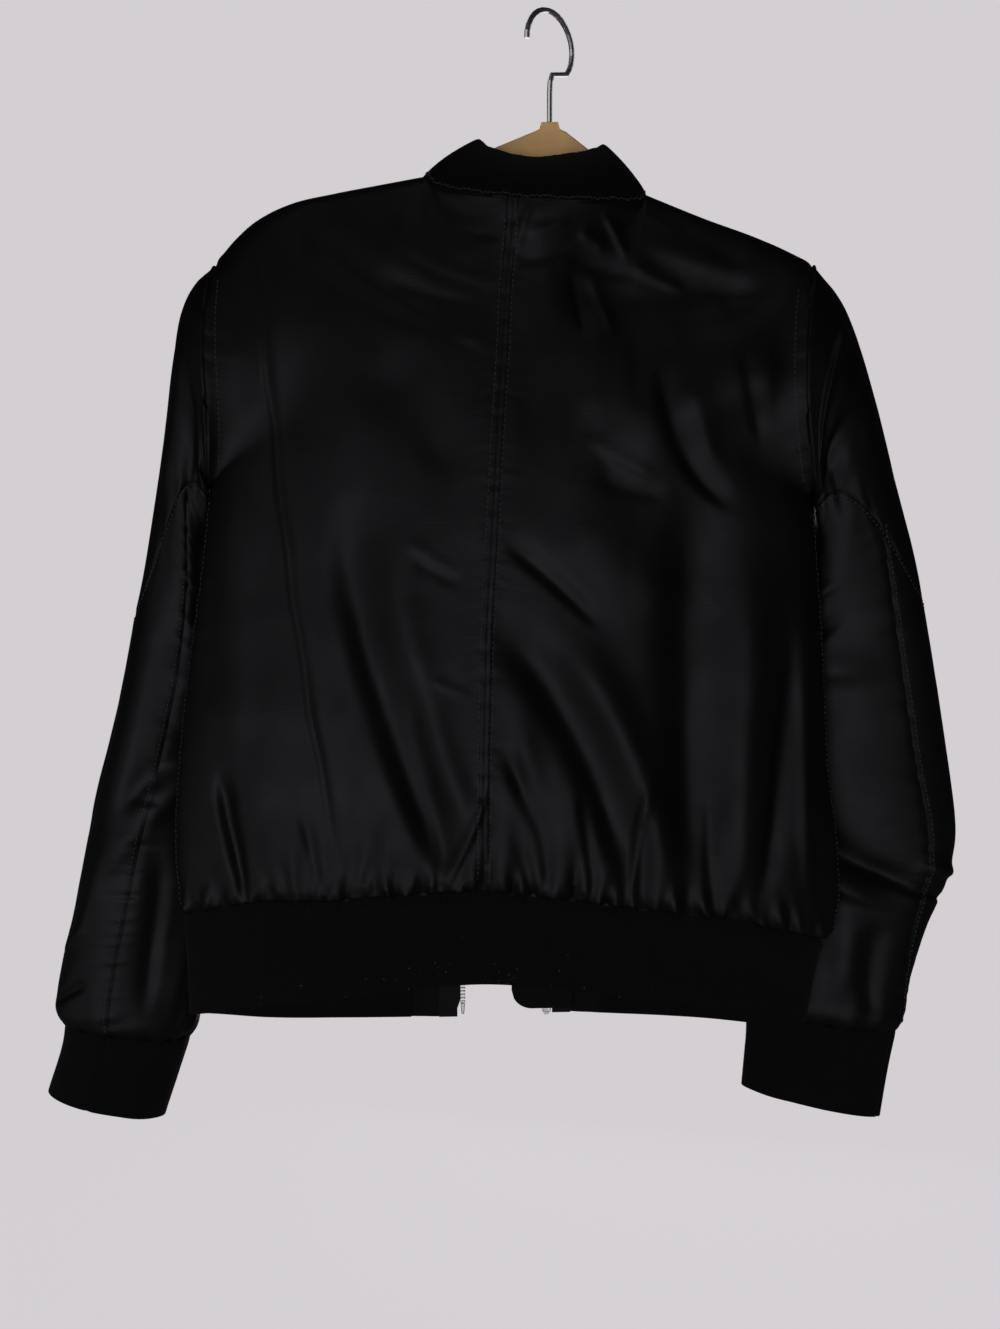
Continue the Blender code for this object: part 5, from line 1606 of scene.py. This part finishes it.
# %% Topstitching
black = Stitches()
for side in ("left", "right"):
    back, front = skins["back_" + side], skins["front_" + side]
    rows = np.linspace(0.03, 0.985, 700)
    black.sew(back, seam_line(side, rows, BACK_STITCH), step_of(rows))
    rows = np.linspace(0.05, 0.325, 300)
    for panel in (back, front):
        black.sew(panel, seam_line(side, rows, ARMHOLE_STITCH, True), step_of(rows))
    rows = np.linspace(0.36, 0.985, 500)
    for panel in (back, front):
        black.sew(panel, seam_line(side, rows, SIDE_STITCH, True), step_of(rows))
    rows = np.linspace(0.03, 0.985, 700)
    columns = down(row_value(step_of(rows)))
    width = np.abs(columns[..., SIDE_COLUMN[side]] - columns[..., EDGE_COLUMN[side]])
    for offset in (EDGE_STITCH, EDGE_STITCH + EDGE_ROWS_APART):
        black.sew(front, front_angles(side, step_of(rows), offset / width), step_of(rows))
    around = np.linspace(-180, 180, 900)
    cap = cap_seam[side](np.abs(around))[..., 0]
    black.sew(skins["sleeve_" + side], cap + CAP_STITCH / RING_LENGTH, around)
    rows = np.linspace(float(cap_seam[side](60.0)[..., 0]) + 0.15, 10.9, 700)
    elbow = elbow_seam[side](rows)[..., 0]
    black.sew(skins["sleeve_" + side], rows, elbow - ELBOW_STITCH / TURN_LENGTH)
    tab = skins["hem_tab_" + side]
    steps = rib_steps()[:, 0]
    inner = np.linspace(0.0, 1.0, 60)
    edge = tab_share(side)
    for part in (0.12, 0.88):
        line = np.interp(inner, [0, 1], [steps[1], steps[-2]])
        black.sew(tab, front_angles(side, line, part * edge), line)
    for level in (0.12, 0.5, 0.9):
        line = np.full(60, steps[0] + (steps[-1] - steps[0]) * level)
        black.sew(tab, front_angles(side, line, edge * (0.12 + 0.76 * inner)), line)
rows = np.linspace(0.05, 0.97, 600)
black.sew(skins["wind_flap"], np.full(600, FLAP_OUT - FLAP_STITCH), step_of(rows))
made["stitches"] = black.make("stitches", thread)

# %% [markdown]
# The coverstitch below the collar is a zigzag of greyed thread. It strays a little, because it
# is sewn on stretched knit.

# %% Coverstitch
grey = Stitches()
around = np.linspace(0.5, 179.5, 700)
stray = 0.012 * np.sin(around * 0.31) + 0.008 * np.sin(around * 0.83 + 1)
grey.sew(skins["collar"], around, 0.05 + stray, RIB_THICK / 2 + 0.5, 2.1, 1.1)
made["coverstitch"] = grey.make("coverstitch", grey_thread, 2.5, 0.55, 0.5)

# %% [markdown]
# ## Lint
#
# Rib knit gathers lint. A few dozen pale specks cling to the lower part of the hem band at the
# back, mostly near the middle.

# %% Lint on the hem band
specks = 32
dice = np.random.default_rng(404)
lint_x = np.clip(dice.normal(-62, 84, specks), -215, 150)
lint_row = 1 + (HEM_END - 1) * np.clip(dice.normal(0.86, 0.12, specks), 0.2, 0.985)
columns = down(lint_row)
on_left = lint_x < columns[..., 1]
width = np.where(on_left, columns[..., 1] - columns[..., 0], columns[..., 2] - columns[..., 1])
lint_angle = angle_of(np.abs(lint_x - columns[..., 1]) / width) * np.where(on_left, -1, 1)
points, outs = skins["hem_rib_back"].place(lint_angle, step_of(lint_row), RIB_THICK / 2 + 0.25)
lint_paint = finish_of("pale_lint", "#b9b4b0", 0.95, Sheen_Weight=0.3)[0]
made["lint"] = set_on_points("lint", points, dice.normal(size=(specks, 3)), outs, None, lint_paint,
                             1.1, 0.36, 0.3)
print("lint specks:", specks)

# %% [markdown]
# ## Camera
#
# The jacket is seen from about a metre away at chest height, looking slightly down. A normal
# lens at that distance gives the sleeves and the hem their slight perspective.

# %% Camera
CAMERA_PLACE = (-0.0362, -1.0, -0.3942)
CAMERA_PITCH = 4.5          # degrees down
CAMERA_LENS = 36.1          # mm, for a sensor 36 mm along its longer side

camera = bpy.data.cameras.new("view")
camera.lens = CAMERA_LENS
camera.sensor_width = 36.0
camera.sensor_fit = "AUTO"
camera.clip_start = 0.01
camera_object = bpy.data.objects.new("view", camera)
camera_object.location = CAMERA_PLACE
camera_object.rotation_euler = (math.radians(90 - CAMERA_PITCH), 0, 0)
bpy.context.collection.objects.link(camera_object)
bpy.context.scene.camera = camera_object
print("camera:", CAMERA_LENS, "mm lens,", CAMERA_PITCH, "degrees down")

# %% [markdown]
# ## Light
#
# Black satin shows what it mirrors, so it needs broad soft lamps that its folds can turn away
# from: a window in front, its like behind for the other views, and weak fills from above and
# from one side. Each is an area light turned to a point.

# %% Soft lights
def aimed(name, lamp, place, aim):
    """A lamp at a place, turned to a point."""
    thing = bpy.data.objects.new(name, lamp)
    thing.location = place
    way = np.array(aim, float) - np.array(place, float)
    thing.rotation_euler = (math.atan2(np.hypot(way[0], way[1]), -way[2]), 0,
                            math.atan2(way[1], way[0]) - math.pi / 2)
    bpy.context.collection.objects.link(thing)
    return thing


def soft_light(name, place, aim, size, power, tint):
    """An area light of a size in metres and a power in watts."""
    lamp = bpy.data.lights.new(name, "AREA")
    lamp.shape = "RECTANGLE"
    lamp.size, lamp.size_y = size
    lamp.energy = power
    lamp.color = colour(tint)[:3]
    return aimed(name, lamp, place, aim)


soft_light("window", (-0.45, -2.6, -1.15), (0, 0, -0.5), (2.1, 1.5), 11, "#f4f5ff")
soft_light("ceiling", (-0.1, -0.95, 1.25), (0, 0, -0.25), (0.9, 0.9), 0.9, "#f8f8ff")
soft_light("beside", (-2.4, -1.5, -1.2), (-0.2, 0, -0.5), (1.2, 1.2), 2.4, "#f4f5ff")
soft_light("behind", (0.5, 2.6, -1.05), (0, 0, -0.5), (2.1, 1.5), 14, "#f4f5ff")

# %% [markdown]
# The hanger is far paler than the cloth beside it, so its neck gets a narrow spot of its own on
# each side. Bright wire shows what it mirrors: two wide, high panels stand for a pale room, and
# light linking keeps them to the hook, so that the cloth stays dark.

# %% Light on the hanger
HANGER_NECK = (-0.002, 0, -0.058)
HOOK_MIDDLE = (0, 0, -0.05)
SPOT_SPREAD, SPOT_POWER = 3.1, 104      # degrees and watts

mirrors = bpy.data.collections.new("mirrors_the_room")
mirrors.objects.link(frame["nodes"]["hanger_hook"])
for suffix, way in (("", -1), ("_behind", 1)):
    lamp = bpy.data.lights.new("neck" + suffix, "SPOT")
    lamp.spot_size, lamp.spot_blend = math.radians(SPOT_SPREAD), 0.8
    lamp.shadow_soft_size, lamp.energy = 0.05, SPOT_POWER
    aimed("neck" + suffix, lamp, (way * 0.3, way * 1.5, 0.35), HANGER_NECK)
    room = soft_light("room" + suffix, (way * 0.5, way * 2.3, 0.75), HOOK_MIDDLE, (3.4, 2.0), 15,
                      "#fffdf8")
    room.light_linking.receiver_collection = mirrors
print("hanger lit from both sides")

# %% [markdown]
# ## Floor and backdrop
#
# Both are pale to the camera. To every other ray they are nearly black, because a pale room
# would turn black satin grey.

# %% Floor and sky
PALE = "#d3cfd3"
FLOOR_LEVEL, FLOOR_REACH = -1.9, 40     # metres

corners = [(-1, -1), (1, -1), (1, 1), (-1, 1)]
floor_mesh = bpy.data.meshes.new("floor")
floor_mesh.from_pydata([(x * FLOOR_REACH, y * FLOOR_REACH, FLOOR_LEVEL) for x, y in corners], [],
                       [(0, 1, 2, 3)])
floor_paint, floor_tree, floor_shader = finish_of("pale_matte_floor", "#1e1d1e", 0.9)
floor_shader.inputs["Emission Color"].default_value = colour(PALE)
floor_path = node(floor_tree, "ShaderNodeLightPath")
floor_glow = node(floor_tree, "ShaderNodeMath", {0: floor_path.outputs["Is Camera Ray"], 1: 0.07},
                  operation="MAXIMUM")
floor_tree.links.new(floor_glow.outputs[0], floor_shader.inputs["Emission Strength"])
floor_mesh.materials.append(floor_paint)
floor = bpy.data.objects.new("floor", floor_mesh)
bpy.context.collection.objects.link(floor)
floor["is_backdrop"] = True

world = bpy.data.worlds.new("sky")
world.use_nodes = True
sky = world.node_tree
sky.nodes.clear()
path = node(sky, "ShaderNodeLightPath")
seen = node(sky, "ShaderNodeBackground", {"Color": colour(PALE), "Strength": 1.0})
cast = node(sky, "ShaderNodeBackground", {"Color": colour("#d9d8dd"), "Strength": 0.022})
pick = node(sky, "ShaderNodeMixShader", {"Fac": path.outputs["Is Camera Ray"],
                                         1: cast.outputs[0], 2: seen.outputs[0]})
node(sky, "ShaderNodeOutputWorld", {"Surface": pick.outputs[0]})
bpy.context.scene.world = world
bpy.context.scene.view_settings.view_transform = "Standard"
print("floor", -FLOOR_LEVEL, "m below the hook; sky set")

# %% [markdown]
# ## Riding
# Every piece rides on the jacket's body. A piece with a solid's name stands for that solid,
# which stays unseen for collision. Each piece of cloth carries the flat size that it was cut to.
# The hanger and the metal parts of the zip keep their solids and only get a better finish.

# %% Riding
for name, piece in made.items():
    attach(piece, BODY)
    if name not in frame["nodes"]:
        continue
    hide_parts(name)
    if "cut" in piece:
        width, length, area = piece["cut"]
for name, finish in (("zip_slider", nickel), ("zip_box", nickel), ("zip_pin", nickel),
                     ("zip_pull", nickel), ("hanger_hook", wire_steel), ("hanger_body", flock)):
    for material_slot in frame["nodes"][name].material_slots:
        material_slot.material = finish

# %% [markdown]
# ## The end
#
# Folds and stitches may stand a little proud of the solids. The two boxes show by how much.

# %% The end
visual_box = [list(corner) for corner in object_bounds()]
low, high = ([round(1000 * sign * (visual_box[end][k] - cad_box[end][k]), 1) for k in range(3)]
             for end, sign in ((0, -1), (1, 1)))
print("visual box grows by", low, "mm below and", high, "mm above")
